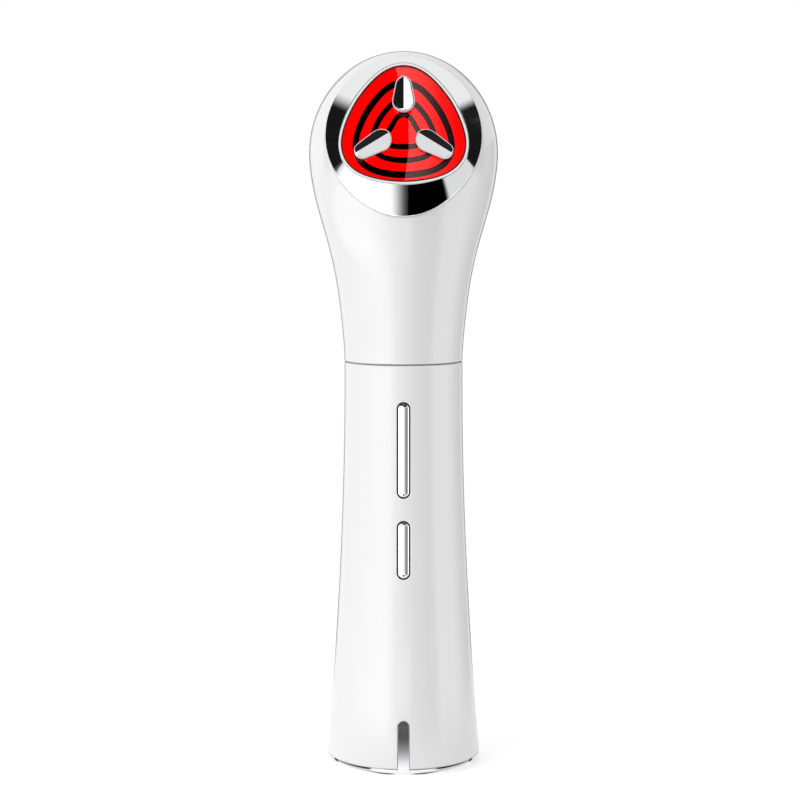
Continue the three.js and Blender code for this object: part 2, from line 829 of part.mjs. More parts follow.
const flangeHalfWidth = keySlotWidth / 2 + keyFlangeLap;
const flangeDepth = Math.sqrt(boreRadius ** 2 - flangeHalfWidth ** 2) - gap;
const flangeBack = flangeDepth - keyFlangeThickness;
const stemDepth = flangeBack - trimGap;
const switchDepth = stemDepth - stemReach;
const switchBack = switchDepth - switchHeight;
const boardFront = switchBack - trimGap;
const boardBack = boardFront - boardThickness;
const plateFront = boardBack - trimGap;
const plateBack = plateFront - plateThickness;

// Key with a crowned front that follows the grip, and a flange behind the slot
function keyForm(slotLength, centre) {
  const halfWidth = keySlotWidth / 2 - keyGap;
  const halfLength = slotLength / 2 - keyGap;
  const flat = (inset, depth) =>
    slotOutline(halfWidth - inset, halfLength - inset, centre).map(
      (point) => new THREE.Vector3(point.x, -depth, point.y),
    );
  const crowned = (inset, drop) =>
    slotOutline(halfWidth - inset, halfLength - inset, centre).map(
      (point) => new THREE.Vector3(point.x, drop - gripRadius(point.y) - keyProud, point.y),
    );
  const lap = -keyFlangeLap - keyGap;
  const rings = [flat(lap, flangeBack), flat(lap, flangeDepth), flat(0, flangeDepth)];
  for (let i = 0; i < keyCrownSteps; i += 1) {
    const angle = (Math.PI / 2) * (i / keyCrownSteps);
    rings.push(crowned(keyCrown * (1 - Math.cos(angle)), keyCrown * (1 - Math.sin(angle))));
  }
  rings.push(crowned(keyCrown, 0));
  return loft(rings);
}

// Piece turned about a line that runs from the front inwards, at a height, between two depths
function turnedInwards(radius, height, backDepth, frontDepth) {
  return standUp(cylinder(radius, backDepth, frontDepth)).translate(0, 0, height);
}

function buildKeys() {
  const keys = [["level", longSlotLength, longSlotCentre], ["power", shortSlotLength, shortSlotCentre]];
  keys.forEach(([name, slotLength, centre]) => {
    addPiece(`${name}_key`, keyForm(slotLength, centre), chrome);
    const stem = turnedInwards(stemRadius, centre, switchDepth - stemEngage, stemDepth);
    addPiece(`${name}_switch_stem`, stem, blackPlastic);
    const block = boardBlock(0, centre, [switchSize, switchHeight, switchSize], switchBack);
    const boreDepth = stemEngage + keyTravel + trimGap;
    const bore = turnedInwards(stemRadius + gap, centre, switchDepth - boreDepth, switchDepth + gap);
    addPiece(`${name}_switch`, combine(block, [], [bore]), steel);
  });
}

// Main board and the parts on it

const boardBottom = plugBottom + gap;
const boardTop = spigotBottom - gap;
const boardHalfWidth = Math.sqrt(boreRadius ** 2 - boardFront ** 2) - boardSideClearance;
const tailTop = footDiscTop + gap + tailHeight;
const cableSocketTop = boardTop - trimGap;
const boardScrewHeights = [boardTop - boardScrewDrop, boardTop - boardScrewDrop - boardScrewSpacing];
const boardScrewSides = [boardScrewOffset, -boardScrewOffset];

function boardHeight(share) {
  return THREE.MathUtils.lerp(boardBottom, boardTop, share);
}

function buildMainBoard() {
  const outline = [
    [-tailHalfWidth, boardBottom], [tailHalfWidth, boardBottom], [tailHalfWidth, tailTop],
    [boardHalfWidth, tailTop], [boardHalfWidth, boardTop], [-boardHalfWidth, boardTop],
    [-boardHalfWidth, tailTop], [-tailHalfWidth, tailTop],
  ].map(([x, z]) => new THREE.Vector2(x, z));
  const blank = standUp(extrudeUp(outline, boardBack, boardFront));
  const holes = boardScrewHeights.map((height, i) => {
    const hole = turnedInwards(screwRadius + gap, height, boardBack - gap, boardFront + gap);
    return hole.translate(boardScrewSides[i], 0, 0);
  });
  addPiece("main_board", combine(blank, [], holes), boardGreen);

  const seat = boardFront + trimGap;
  addPiece("controller_chip", boardBlock(0, boardHeight(chipShare), chipSize, seat), blackPlastic);
  const transformerHeight = boardHeight(transformerShare);
  const coil = boardBlock(0, transformerHeight, transformerSize, seat);
  const [width, tall, high] = transformerSize;
  const coreSize = [width - 2 * coreStep, tall + coreStep, high + coreStep];
  const core = boardBlock(0, transformerHeight, coreSize, seat);
  addPiece("pulse_transformer", combine(coil, [core], []), ferrite);
  const capacitorBottom = boardHeight(capacitorShare) - capacitorLength / 2;
  const can = cylinder(capacitorRadius, capacitorBottom, capacitorBottom + capacitorLength);
  can.translate(-tailHalfWidth + capacitorRadius, -seat - capacitorRadius, 0);
  addPiece("storage_capacitor", can, capacitorSleeve);
  const socketHeight = cableSocketTop - cableSocketSize[2] / 2;
  addPiece("cable_socket", boardBlock(0, socketHeight, cableSocketSize, seat), whitePlastic);

  ["upper", "lower"].forEach((name, i) => {
    const geometry = standUp(screw(screwRadius, screwLength, screwHeadRadius, screwHeadHeight));
    geometry.translate(boardScrewSides[i], -seat, boardScrewHeights[i]);
    addPiece(`board_screw_${name}`, geometry, steel);
  });
}

// Chassis: back plate, top and foot discs, cell saddles, cell stop and screw bosses in one moulding

const plateHalfWidth = Math.sqrt(boreRadius ** 2 - plateFront ** 2) - plateSideClearance;
const cellY = cellRadius + gap - plateBack;
const cellBottom = footDiscTop + gap;
const cellTop = cellBottom + cellLength;
const leadHeight = cellTop + cellCapHeight + leadRise;

function behindPlateFront(geometry) {
  const region = box([-footRadius, -plateFront, 0], [footRadius, footRadius, totalHeight]);
  return common(geometry, region);
}

function saddle(height) {
  const outerRadius = cellRadius + gap + saddleWall;
  const ring = combine(
    cylinder(outerRadius, height, height + saddleWidth, bodySegments / 2),
    [],
    [cylinder(cellRadius + gap, height - gap, height + saddleWidth + gap, bodySegments / 2)],
  ).translate(0, cellY, 0);
  const openFrom = cellY + cellRadius * saddleOpeningShare;
  const back = box([-footRadius, openFrom, 0], [footRadius, footRadius + overrun, totalHeight]);
  return behindPlateFront(combine(ring, [], [back]));
}

function buildChassis() {
  const plate = box([-plateHalfWidth, -plateFront, footDiscBottom], [plateHalfWidth, -plateBack, boardTop]);
  const footDiscRadius = gripRadius(footDiscTop) - wall - gap;
  const footDisc = behindPlateFront(cylinder(footDiscRadius, footDiscBottom, footDiscTop, bodySegments));
  const topDiscRadius = boreRadius - gap;
  const topDiscBottom = boardTop - discThickness;
  const topDisc = behindPlateFront(cylinder(topDiscRadius, topDiscBottom, boardTop, bodySegments));
  const saddles = Array.from({ length: saddleCount }, (unused, i) => {
    const share = (i + 1) / (saddleCount + 1);
    return saddle(THREE.MathUtils.lerp(cellBottom, cellTop, share) - saddleWidth / 2);
  });
  const stopBottom = cellTop + gap;
  const stopEdge = cellRadius - cellCapRadius - plateBack;
  const stop = box([-cellRadius, -plateBack, stopBottom], [cellRadius, stopEdge, stopBottom + stopHeight]);
  const bossEnd = plateBack - boardBossLength;
  const bosses = boardScrewHeights.map((height, i) => {
    const post = turnedInwards(boardBossRadius, height, bossEnd, plateBack);
    return post.translate(boardScrewSides[i], 0, 0);
  });
  const bossHoles = boardScrewHeights.map((height, i) => {
    const hole = turnedInwards(screwRadius + gap, height, bossEnd - gap, plateFront + gap);
    return hole.translate(boardScrewSides[i], 0, 0);
  });
  const footHoles = bothSides.map((side) => {
    const hole = cylinder(screwRadius + gap, footDiscBottom - gap, footDiscTop + gap);
    return hole.translate(side * footBossOffset, 0, 0);
  });
  const windowHalf = leadOffset + leadRadius + leadWindowMargin;
  const windowRise = leadRadius + leadWindowMargin;
  const leadWindow = box(
    [-windowHalf, -plateFront - gap, leadHeight - windowRise],
    [windowHalf, -plateBack + gap, leadHeight + windowRise],
  );
  const added = [footDisc, topDisc, ...saddles, stop, ...bosses];
  const geometry = combine(plate, added, [...bossHoles, ...footHoles, leadWindow]);
  addPiece("chassis", geometry, whitePlastic);
}

// Tube or ribbon along a curve
function alongCurve(outline, curve, steps) {
  const shape = new THREE.Shape(outline);
  return weld(new THREE.ExtrudeGeometry(shape, { steps, extrudePath: curve, bevelEnabled: false }));
}

function buildCell() {
  const profile = [
    [0, cellBottom], [cellRadius, cellBottom], [cellRadius, cellTop], [cellCapRadius, cellTop],
    [cellCapRadius, cellTop + cellCapHeight], [0, cellTop + cellCapHeight],
  ];
  addPiece("battery", revolve(profile, bodySegments / 2).translate(0, cellY, 0), cellSleeve);

  const circle = Array.from({ length: leadSides }, (unused, i) => {
    const angle = (2 * Math.PI * i) / leadSides;
    return new THREE.Vector2(leadRadius * Math.cos(angle), leadRadius * Math.sin(angle));
  });
  const leads = [["battery_lead_red", -leadOffset, redWire], ["battery_lead_black", leadOffset, blackWire]];
  leads.forEach(([name, across, material]) => {
    const start = new THREE.Vector3(across, cellY, cellTop + cellCapHeight + trimGap);
    const end = new THREE.Vector3(across, -boardBack + trimGap, leadHeight);
    const rise = new THREE.Vector3(0, 0, leadBend);
    const lead = new THREE.Vector3(0, leadBend, 0);
    const curve = new THREE.CubicBezierCurve3(start, start.clone().add(rise), end.clone().add(lead), end);
    addPiece(name, alongCurve(circle, curve, leadSteps), material);
  });
}

function buildHeadCable() {
  const out = new THREE.Vector3(0, 0, 1).transformDirection(faceFrame);
  const start = new THREE.Vector3(0, -cableDrop, lightBoardBottom - trimGap).applyMatrix4(faceFrame);
  const endDepth = boardFront + trimGap + cableSocketSize[1] / 2;
  const end = new THREE.Vector3(0, -endDepth, cableSocketTop + trimGap);
  const leave = start.clone().addScaledVector(out, -cableLeave);
  const arrive = end.clone().add(new THREE.Vector3(0, 0, cableArrive));
  const curve = new THREE.CubicBezierCurve3(start, leave, arrive, end);
  const acrossHalf = cableWidth / 2;
  const thickHalf = cableThickness / 2;
  const outline = [
    new THREE.Vector2(-acrossHalf, -thickHalf), new THREE.Vector2(acrossHalf, -thickHalf),
    new THREE.Vector2(acrossHalf, thickHalf), new THREE.Vector2(-acrossHalf, thickHalf),
  ];
  addPiece("head_cable", alongCurve(outline, curve, cableSteps), blackWire);
}

// Foot: charging socket, plug, screws and the chromed cap with its tongue

const portDepthCentre = boardFront + trimGap + portHeight / 2;

function portOutline(margin) {
  const outline = slotOutline(portHeight / 2 + margin, portWidth / 2 + margin);
  return outline.map((point) => new THREE.Vector2(-point.y, point.x - portDepthCentre));
}

function buildPort() {
  const bottom = footLift;
  const can = extrudeUp(portOutline(0), bottom, bottom + portLength);
  const hollow = extrudeUp(portOutline(-portWall), bottom - gap, bottom + portDepth);
  addPiece("usb_socket", combine(can, [], [hollow]), steel);
  const [width, tall, long] = portTongueSize;
  const top = bottom + portDepth - trimGap;
  const low = [-width / 2, -portDepthCentre - tall / 2, top - long];
  addPiece("usb_tongue", box(low, [width / 2, -portDepthCentre + tall / 2, top]), blackPlastic);
}

function buildBasePlug() {
  const disc = cylinder(plugRadius, plugBottom, plugTop, bodySegments);
  const boardSide = -boardBack + gap;
  const socketSide = -portDepthCentre - portHeight / 2 - gap;
  const tailHalf = tailHalfWidth + gap;
  const opening = box([-tailHalf, socketSide, plugBottom - gap], [tailHalf, boardSide, plugTop + gap]);
  const seat = plugBottom + footScrewSeat;
  const screwHoles = bothSides.flatMap((side) => {
    const shank = cylinder(screwRadius + gap, plugBottom - gap, plugTop + gap);
    const head = cylinder(footScrewHeadRadius + gap, plugBottom - gap, seat);
    return [shank, head].map((hole) => hole.translate(side * footBossOffset, 0, 0));
  });
  const postHoles = bothSides.map((side) => {
    const hole = cylinder(snapPostRadius + gap, plugBottom - gap, plugBottom + snapPostHeight + gap);
    return hole.translate(side * snapPostOffset[0], snapPostOffset[1], 0);
  });
  addPiece("base_plug", combine(disc, [], [opening, ...screwHoles, ...postHoles]), whitePlastic);

  ["left", "right"].forEach((name, i) => {
    const geometry = screw(screwRadius, footScrewLength, footScrewHeadRadius, screwHeadHeight);
    geometry.rotateX(Math.PI).translate(bothSides[i] * footBossOffset, 0, seat - trimGap);
    addPiece(`base_screw_${name}`, geometry, steel);
  });
}

function buildBaseCap() {
  const capRadius = footRadius - capInset;
  const edge = Array.from({ length: capRoundSteps + 1 }, (unused, i) => {
    const angle = (Math.PI / 2) * (i / capRoundSteps);
    return [capRadius - capEdgeRound * (1 - Math.sin(angle)), capEdgeRound * (1 - Math.cos(angle))];
  });
  const disc = revolve([[0, 0], ...edge, [capRadius, capThickness], [0, capThickness]]);
  const slotHalfWidth = footSlotWidth / 2 - tongueSideGap;
  const tongueTop = footSlotTop - tongueSideGap;
  const levels = [capEdgeRound, (capEdgeRound + tongueTop) / 2, tongueTop];
  const outer = levels.map((height) => [gripRadius(height) - tongueRecess, height]);
  const inner = outer.map(([radius, height]) => [radius - tongueThickness, height]).reverse();
  const sleeve = revolve([...outer, ...inner, outer[0]], 2 * bodySegments);
  const tongueHalf = tongueTop / 2 + overrun;
  const tongueBar = frontSlot(slotHalfWidth, tongueHalf, tongueTop - tongueHalf);
  const tongue = common(sleeve, tongueBar);
  const posts = bothSides.map((side) => {
    const post = cylinder(snapPostRadius, capThickness / 2, plugBottom + snapPostHeight);
    return post.translate(side * snapPostOffset[0], snapPostOffset[1], 0);
  });
  const port = extrudeUp(portOutline(portMouthMargin), -overrun, overrun);
  addPiece("base_cap", combine(disc, [tongue, ...posts], [port]), chrome);
}

buildHeadHousing();
buildFace();
buildLightModule();
buildHandleHousing();
buildNeckSeal();
buildKeys();
buildMainBoard();
buildChassis();
buildCell();
buildHeadCable();
buildPort();
buildBasePlug();
buildBaseCap();

export default wand;
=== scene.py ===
# Facial toning wand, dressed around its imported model. Sizes are millimetres unless a name says otherwise.
# +Z is up, the face and the keys look towards -Y, and the wand stands on the floor at Z = 0.

import math

import bmesh
import bpy
import numpy as np
from mathutils import Matrix, Vector


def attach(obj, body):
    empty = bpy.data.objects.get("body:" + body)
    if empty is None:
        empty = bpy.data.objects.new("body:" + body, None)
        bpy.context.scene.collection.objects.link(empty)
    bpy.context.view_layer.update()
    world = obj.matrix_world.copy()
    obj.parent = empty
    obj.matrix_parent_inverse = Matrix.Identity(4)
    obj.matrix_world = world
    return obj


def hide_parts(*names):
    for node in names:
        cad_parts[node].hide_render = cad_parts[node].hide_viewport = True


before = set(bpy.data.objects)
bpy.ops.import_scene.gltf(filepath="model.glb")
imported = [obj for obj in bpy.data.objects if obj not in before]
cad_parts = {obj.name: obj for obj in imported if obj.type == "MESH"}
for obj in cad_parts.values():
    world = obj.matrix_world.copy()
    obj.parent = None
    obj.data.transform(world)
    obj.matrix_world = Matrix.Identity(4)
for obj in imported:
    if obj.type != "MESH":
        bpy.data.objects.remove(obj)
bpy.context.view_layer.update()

body = "wand_body"
MM = 0.001


# Camera
# A long lens at the height of the face, a step away, looking slightly down.
# It was fitted to the widths, the seam's curve and the foot's curve in the picture.


def new_object(name, data):
    made = bpy.data.objects.new(name, data)
    bpy.context.scene.collection.objects.link(made)
    return made


camera_place = Vector((-0.75, -456.2, 121.5)) * MM
camera_pitch = math.radians(5.44)
camera_data = bpy.data.cameras.new("camera")
camera_data.sensor_width = 36
camera_data.lens = 96.2
camera_data.clip_start = 10 * MM
camera = new_object("camera", camera_data)
camera.location = camera_place
camera.rotation_euler = (math.pi / 2 - camera_pitch, 0, 0)
bpy.context.scene.camera = camera


# Head shell
# The upper moulding of the body, injection-moulded gloss white ABS with a 1.6 mm wall.
# It swells out of the neck, ends in a dome, and is cut off by the tilted plane of the face.
# A spigot under it plugs into the grip.

total_height = 152.0
head_width = 40.0
dome_height = 21.5
seam_height = 86.5
seam_gap = 0.3
waist_radius = 12.6
wall = 1.6
face_tilt = math.radians(18)
face_drop = 17.4
face_depth = 11.1
spigot_depth = 5.0
spigot_wall = 1.4
fit_gap = 0.3
rim_round = 0.16
head_sides = 320
head_rings = 150
ring_crowding = 0.12
cavity_rings = 40
first_cavity_share = 0.11
swell_shares = [(0, 0), (0.15, 0.055), (0.37, 0.214), (0.586, 0.497), (0.76, 0.79), (0.9, 0.955), (1, 1)]
front_shares = [(0, 1), (0.27, 0.985), (0.47, 0.95), (0.63, 1.02), (0.73, 1.01), (0.85, 0.93), (1, 0.79)]
back_shares = [(0, 1), (0.4, 0.93), (0.72, 0.86), (1, 0.86)]


def smooth_through(pairs):
    """Smooth curve through given (share, value) pairs, level at both ends."""
    at, value = np.array(pairs, float).T
    span = np.diff(at)
    rise = np.diff(value)
    system = np.eye(len(at))
    wanted = np.zeros(len(at))
    for i in range(1, len(at) - 1):
        before, after = 1 / span[i - 1], 1 / span[i]
        system[i, i - 1 : i + 2] = before, 2 * (before + after), after
        wanted[i] = 3 * (rise[i - 1] * before**2 + rise[i] * after**2)
    slope = np.linalg.solve(system, wanted)

    def curve(share):
        share = np.clip(share, at[0], at[-1])
        k = np.clip(np.searchsorted(at, share) - 1, 0, len(span) - 1)
        t = (share - at[k]) / span[k]
        blend = t * t * (3 - 2 * t)
        bend_in = t * (1 - t) ** 2 * span[k] * slope[k]
        bend_out = t * t * (1 - t) * span[k] * slope[k + 1]
        return value[k] * (1 - blend) + value[k + 1] * blend + bend_in - bend_out

    return curve


swell = smooth_through(swell_shares)
front_depth_share = smooth_through(front_shares)
back_depth_share = smooth_through(back_shares)
widest_height = total_height - dome_height


def head_half_width(height, inset):
    climb = (height - seam_height) / (widest_height - seam_height)
    rising = waist_radius + (head_width / 2 - waist_radius) * swell(climb) - inset
    over = np.clip((height - widest_height) / (dome_height - inset), 0, 1)
    dome = (head_width / 2 - inset) * np.sqrt(1 - over**2)
    return np.where(height <= widest_height, rising, dome)


def inside_head(points, inset):
    """Whether each point lies inside the head's surface, or inside a surface that lies an inset below it."""
    x, y, z = points[..., 0], points[..., 1], points[..., 2]
    half_width = np.maximum(head_half_width(z, inset), 1e-6)
    climb = (z - seam_height) / (total_height - seam_height)
    share = np.where(y < 0, front_depth_share(climb), back_depth_share(climb))
    return np.hypot(x / half_width, y / (half_width * share)) < 1


def reach_to_head(start, directions, inset):
    """Points where rays from a point inside the head meet its surface."""
    near = np.zeros(len(directions))
    far = np.full(len(directions), 2 * head_width)
    for _ in range(40):
        middle = (near + far) / 2
        within = inside_head(start + directions * middle[:, None], inset)
        near = np.where(within, middle, near)
        far = np.where(within, far, middle)
    return start + directions * near[:, None]


# The head is sliced like a fan: each section lies in a plane that turns about the line where the
# seam's plane meets the face's plane, from the seam round to the face.
face_centre = np.array([0, -face_depth, total_height - face_drop])
face_turn = math.pi / 2 - face_tilt
head_bottom = seam_height + seam_gap / 2
hinge = np.array([0, -face_depth - (face_centre[2] - head_bottom) / math.tan(face_turn), head_bottom])
reach_to_axis = -hinge[1]
reach_to_face = np.linalg.norm(face_centre - hinge)
around = np.linspace(0, 2 * math.pi, head_sides, endpoint=False)


def head_section(turn, inset):
    """Closed section of the head in a plane turned up about the hinge line, counted from +X."""
    up = np.array([0, math.cos(turn), math.sin(turn)])
    start = hinge + up * np.interp(turn, [0, face_turn], [reach_to_axis, reach_to_face])
    front_and_back = reach_to_head(start, np.array([-up, up]), inset)
    centre = front_and_back.mean(axis=0)
    across = np.array([1.0, 0, 0])
    directions = np.cos(around)[:, None] * across + np.sin(around)[:, None] * up
    return reach_to_head(centre, directions, inset)


def rounded_corner(before, corner, after, steps=4):
    """Rings of a small fillet that leaves one ring, rounds a corner ring and arrives at another."""
    rings = []
    for angle in np.linspace(0, math.pi / 2, steps + 1):
        to_before = (before - corner) * (1 - math.sin(angle))
        to_after = (after - corner) * (1 - math.cos(angle))
        rings.append(corner + to_before + to_after)
    return rings


def moved_towards(ring, target, distance):
    away = target - ring
    return ring + away * (distance / np.linalg.norm(away, axis=1))[:, None]


def round_ring(radius, height, count):
    angle = np.linspace(0, 2 * math.pi, count, endpoint=False)
    return np.column_stack([radius * np.cos(angle), radius * np.sin(angle), np.full(count, height)])


def quads(rings, count, closed):
    """Faces between neighbouring rings of equal length; a closed stack joins its last ring to its first."""
    faces = []
    for r in range(rings if closed else rings - 1):
        here = r * count
        there = (r + 1) % rings * count
        for i in range(count):
            after = (i + 1) % count
            faces.append((here + i, here + after, there + after, there + i))
    return faces


def mesh_piece(name, points, faces, sharp_degrees=35):
    """Smooth-shaded object in place, from points in millimetres; edges sharper than the angle stay crisp."""
    mesh = bpy.data.meshes.new(name)
    mesh.from_pydata((np.asarray(points) * MM).tolist(), [], faces)
    work = bmesh.new()
    work.from_mesh(mesh)
    bmesh.ops.recalc_face_normals(work, faces=work.faces)
    work.to_mesh(mesh)
    work.free()
    mesh.shade_smooth()
    mesh.set_sharp_from_angle(angle=math.radians(sharp_degrees))
    for face in mesh.polygons:
        face.use_smooth = len(face.vertices) <= 4
    return new_object(name, mesh)


def stacked_piece(name, rings, closed=True, sharp_degrees=35):
    """Object lofted through rings; an open stack is closed with a flat face at each end."""
    count = len(rings[0])
    faces = quads(len(rings), count, closed)
    if not closed:
        faces.append(tuple(reversed(range(count))))
        faces.append(tuple(range((len(rings) - 1) * count, len(rings) * count)))
    return mesh_piece(name, np.concatenate(rings), faces, sharp_degrees)


turns = np.linspace(0, 1, head_rings)
section_turns = face_turn * (turns - ring_crowding * np.sin(2 * math.pi * turns) / (2 * math.pi))
edge_turn = rim_round / reach_to_face
seam_ring = head_section(0, 0)
face_ring = head_section(face_turn, 0)
first = head_section(rim_round / reach_to_axis, 0)
last = head_section(face_turn - edge_turn, 0)
seam_inner = moved_towards(seam_ring, np.array([0, 0, head_bottom]), rim_round)
face_inner = moved_towards(face_ring, face_centre, rim_round)
outer_rings = rounded_corner(seam_inner, seam_ring, first)
outer_rings += [head_section(turn, 0) for turn in section_turns[2:-2]]
outer_rings += rounded_corner(last, face_ring, face_inner)
cavity_bottom = head_bottom + wall
bore_radius = waist_radius - wall
spigot_radius = bore_radius - fit_gap
spigot_bore = spigot_radius - spigot_wall
spigot_bottom = seam_height - spigot_depth
cavity_turns = face_turn * np.linspace(1, first_cavity_share, cavity_rings)
inner_rings = [head_section(turn, wall) for turn in cavity_turns]
inner_rings += [
    round_ring(spigot_bore, cavity_bottom, head_sides),
    round_ring(spigot_bore, spigot_bottom, head_sides),
    round_ring(spigot_radius, spigot_bottom, head_sides),
    round_ring(spigot_radius, head_bottom, head_sides),
]
head_shell = stacked_piece("head_shell", outer_rings + inner_rings)


def colour(code):
    """Linear colour of an sRGB hex value."""
    parts = [int(code[i : i + 2], 16) / 255 for i in (1, 3, 5)]
    return [p / 12.92 if p <= 0.04045 else ((p + 0.055) / 1.055) ** 2.4 for p in parts] + [1.0]


def add_node(tree, kind, inputs=None, **settings):
    """Adds a node with its settings; each input is a value, or the socket that feeds it."""
    made = tree.nodes.new(kind)
    for name, value in settings.items():
        setattr(made, name, value)
    for name, value in (inputs or {}).items():
        if isinstance(value, bpy.types.NodeSocket):
            tree.links.new(value, made.inputs[name])
        else:
            made.inputs[name].default_value = value
    return made


def new_material(name):
    made = bpy.data.materials.new(name)
    made.use_nodes = True
    made.node_tree.nodes.clear()
    return made, made.node_tree


def varied_material(name, size_mm, detail, looks, bump=None, kind="ShaderNodeTexNoise", stretch=(1, 1, 1)):
    """Material whose looks vary with a soft pattern of one size. A pair of colours or values is what the
    pattern spans, and two more tell from where to where. A bump is a strength and a depth in millimetres,
    with the size and detail of its own pattern."""
    made, tree = new_material(name)
    place = add_node(tree, "ShaderNodeTexCoord").outputs["Object"]
    if stretch != (1, 1, 1):
        place = add_node(tree, "ShaderNodeMapping", {"Vector": place, "Scale": stretch}).outputs["Vector"]
    soft = {"Vector": place, "Scale": 1 / (size_mm * MM), "Detail": detail}
    pattern = add_node(tree, kind, soft).outputs[0]
    inputs = {}
    for look, value in looks.items():
        if isinstance(value, str):
            value = colour(value)
        elif isinstance(value, tuple) and isinstance(value[0], str):
            ends = {0: pattern, 6: colour(value[0]), 7: colour(value[1])}
            value = add_node(tree, "ShaderNodeMix", ends, data_type="RGBA").outputs[2]
        elif isinstance(value, tuple):
            span = dict(zip(("To Min", "To Max", "From Min", "From Max"), value))
            value = add_node(tree, "ShaderNodeMapRange", {"Value": pattern, **span}).outputs["Result"]
        inputs[look] = value
    if bump:
        strength, depth_mm, wave_mm, wave_detail = bump
        waves = add_node(tree, kind, {"Vector": place, "Scale": 1 / (wave_mm * MM), "Detail": wave_detail})
        raised = {"Height": waves.outputs[0], "Strength": strength, "Distance": depth_mm * MM}
        inputs["Normal"] = add_node(tree, "ShaderNodeBump", raised).outputs["Normal"]
    shader = add_node(tree, "ShaderNodeBsdfPrincipled", inputs)
    add_node(tree, "ShaderNodeOutputMaterial", {"Surface": shader.outputs["BSDF"]})
    return made


# Gloss ABS, moulded in a polished steel tool: a clean mirror film over an opaque white, with the very
# faint waviness that such walls take as they cool and a slight change of gloss from handling.
gloss_abs = varied_material(
    "gloss_white_abs",
    22.0,
    3.0,
    {"Base Color": "#F3F3F4", "Roughness": (0.07, 0.12, 0.3, 0.7), "IOR": 1.53},
    bump=(0.05, 0.02, 9.0, 1.0),
)

head_shell.data.materials.append(gloss_abs)
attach(head_shell, body)
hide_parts("head_housing")


# Grip shell
# The lower moulding, in the same gloss white ABS: a tube that flares towards the foot by one smooth rule.
# Two pill-shaped slots hold the keys, and a third, open at the bottom, lets the foot's tongue show.

foot_radius = 16.7
waist_height = 83.0
flare_power = 1.9
grip_top = seam_height - seam_gap / 2
foot_lift = 1.5
foot_edge_round = 0.6
lip_width = 0.8
rebate_depth = 1.2
grip_sides = 288
grip_rows = 170
row_spread = 1.15
bore_rows = 60
slot_edge_round = 0.16
slot_round_meets = math.radians(72)
slot_round_ends = math.radians(80)
slot_cutter_depths = (4.0, 1.2)
slot_cutter_proud = 1.0
key_slot_width = 2.84
long_slot_length = 20.3
short_slot_length = 12.4
seam_to_slot = 7.7
slot_to_slot = 4.65
long_slot_centre = seam_height - seam_to_slot - long_slot_length / 2
short_slot_centre = long_slot_centre - (long_slot_length + short_slot_length) / 2 - slot_to_slot
foot_slot_width = 2.65
foot_slot_top = 11.8
foot_slot_flare = 0.3


def grip_radius(height):
    drop = np.maximum(0, 1 - np.asarray(height, float) / waist_height)
    return waist_radius + (foot_radius - waist_radius) * drop**flare_power


def arc(centre, radius, start_degrees, end_degrees, steps=5):
    """Points of an arc in a section, as (radius, height) pairs."""
    angles = np.radians(np.linspace(start_degrees, end_degrees, steps))
    return [(centre[0] + radius * math.cos(a), centre[1] + radius * math.sin(a)) for a in angles]


def revolved_piece(name, section, sides, sharp_degrees=35):
    """Closed body of revolution from a closed section of (radius, height) pairs."""
    rings = [round_ring(radius, height, sides) for radius, height in section]
    return stacked_piece(name, rings, True, sharp_degrees)


rows = np.linspace(0, 1, grip_rows) ** row_spread
side_low = foot_lift + foot_edge_round
side_high = grip_top - rim_round
tube_section = arc((waist_radius - foot_edge_round, side_low), foot_edge_round, -90, 0, 7)
tube_section += [(waist_radius, side_low + (side_high - side_low) * row) for row in rows[1:-1]]
tube_section += arc((waist_radius - rim_round, side_high), rim_round, 0, 90)
rebate_radius = waist_radius - lip_width
rebate_floor = grip_top - rebate_depth
tube_section += [(rebate_radius, grip_top), (rebate_radius, rebate_floor)]
bore_levels = rebate_floor + (foot_lift - rebate_floor) * np.linspace(0, 1, bore_rows)
tube_section += [(bore_radius, level) for level in bore_levels]
grip_shell = revolved_piece("grip_shell", tube_section, grip_sides)

# The rule of the flare, as a node tree: each point of a straight tube moves out by the flare at its height
flare = bpy.data.node_groups.new("flared_grip", "GeometryNodeTree")
flare.interface.new_socket("Geometry", in_out="OUTPUT", socket_type="NodeSocketGeometry")
flare.interface.new_socket("Geometry", in_out="INPUT", socket_type="NodeSocketGeometry")
flare_sizes = {
    "Flare": (foot_radius - waist_radius) * MM,
    "Waist Height": waist_height * MM,
    "Power": flare_power,
}


def size_inputs(tree, sizes):
    """Gives a node tree a named input for each size."""
    new_socket = tree.interface.new_socket
    return [new_socket(name, in_out="INPUT", socket_type="NodeSocketFloat") for name in sizes]


flare_sockets = size_inputs(flare, flare_sizes)
given = add_node(flare, "NodeGroupInput").outputs
where = add_node(flare, "GeometryNodeInputPosition").outputs["Position"]
parts = add_node(flare, "ShaderNodeSeparateXYZ", {"Vector": where}).outputs
push = parts["Z"]
for operation, by in [
    ("DIVIDE", given["Waist Height"]),
    ("MULTIPLY", -1.0),
    ("ADD", 1.0),
    ("MAXIMUM", 0.0),
    ("POWER", given["Power"]),
    ("MULTIPLY", given["Flare"]),
]:
    push = add_node(flare, "ShaderNodeMath", {0: push, 1: by}, operation=operation).outputs[0]
level = add_node(flare, "ShaderNodeCombineXYZ", {"X": parts["X"], "Y": parts["Y"]})
outward = add_node(flare, "ShaderNodeVectorMath", {0: level.outputs[0]}, operation="NORMALIZE")
outward = {0: outward.outputs["Vector"], "Scale": push}
offset = add_node(flare, "ShaderNodeVectorMath", outward, operation="SCALE").outputs["Vector"]
moved = add_node(flare, "GeometryNodeSetPosition", {"Geometry": given["Geometry"], "Offset": offset})
add_node(flare, "NodeGroupOutput", {"Geometry": moved.outputs["Geometry"]})
flared = grip_shell.modifiers.new("flare", "NODES")
flared.node_group = flare
for socket, size in zip(flare_sockets, flare_sizes.values()):
    flared[socket.identifier] = size


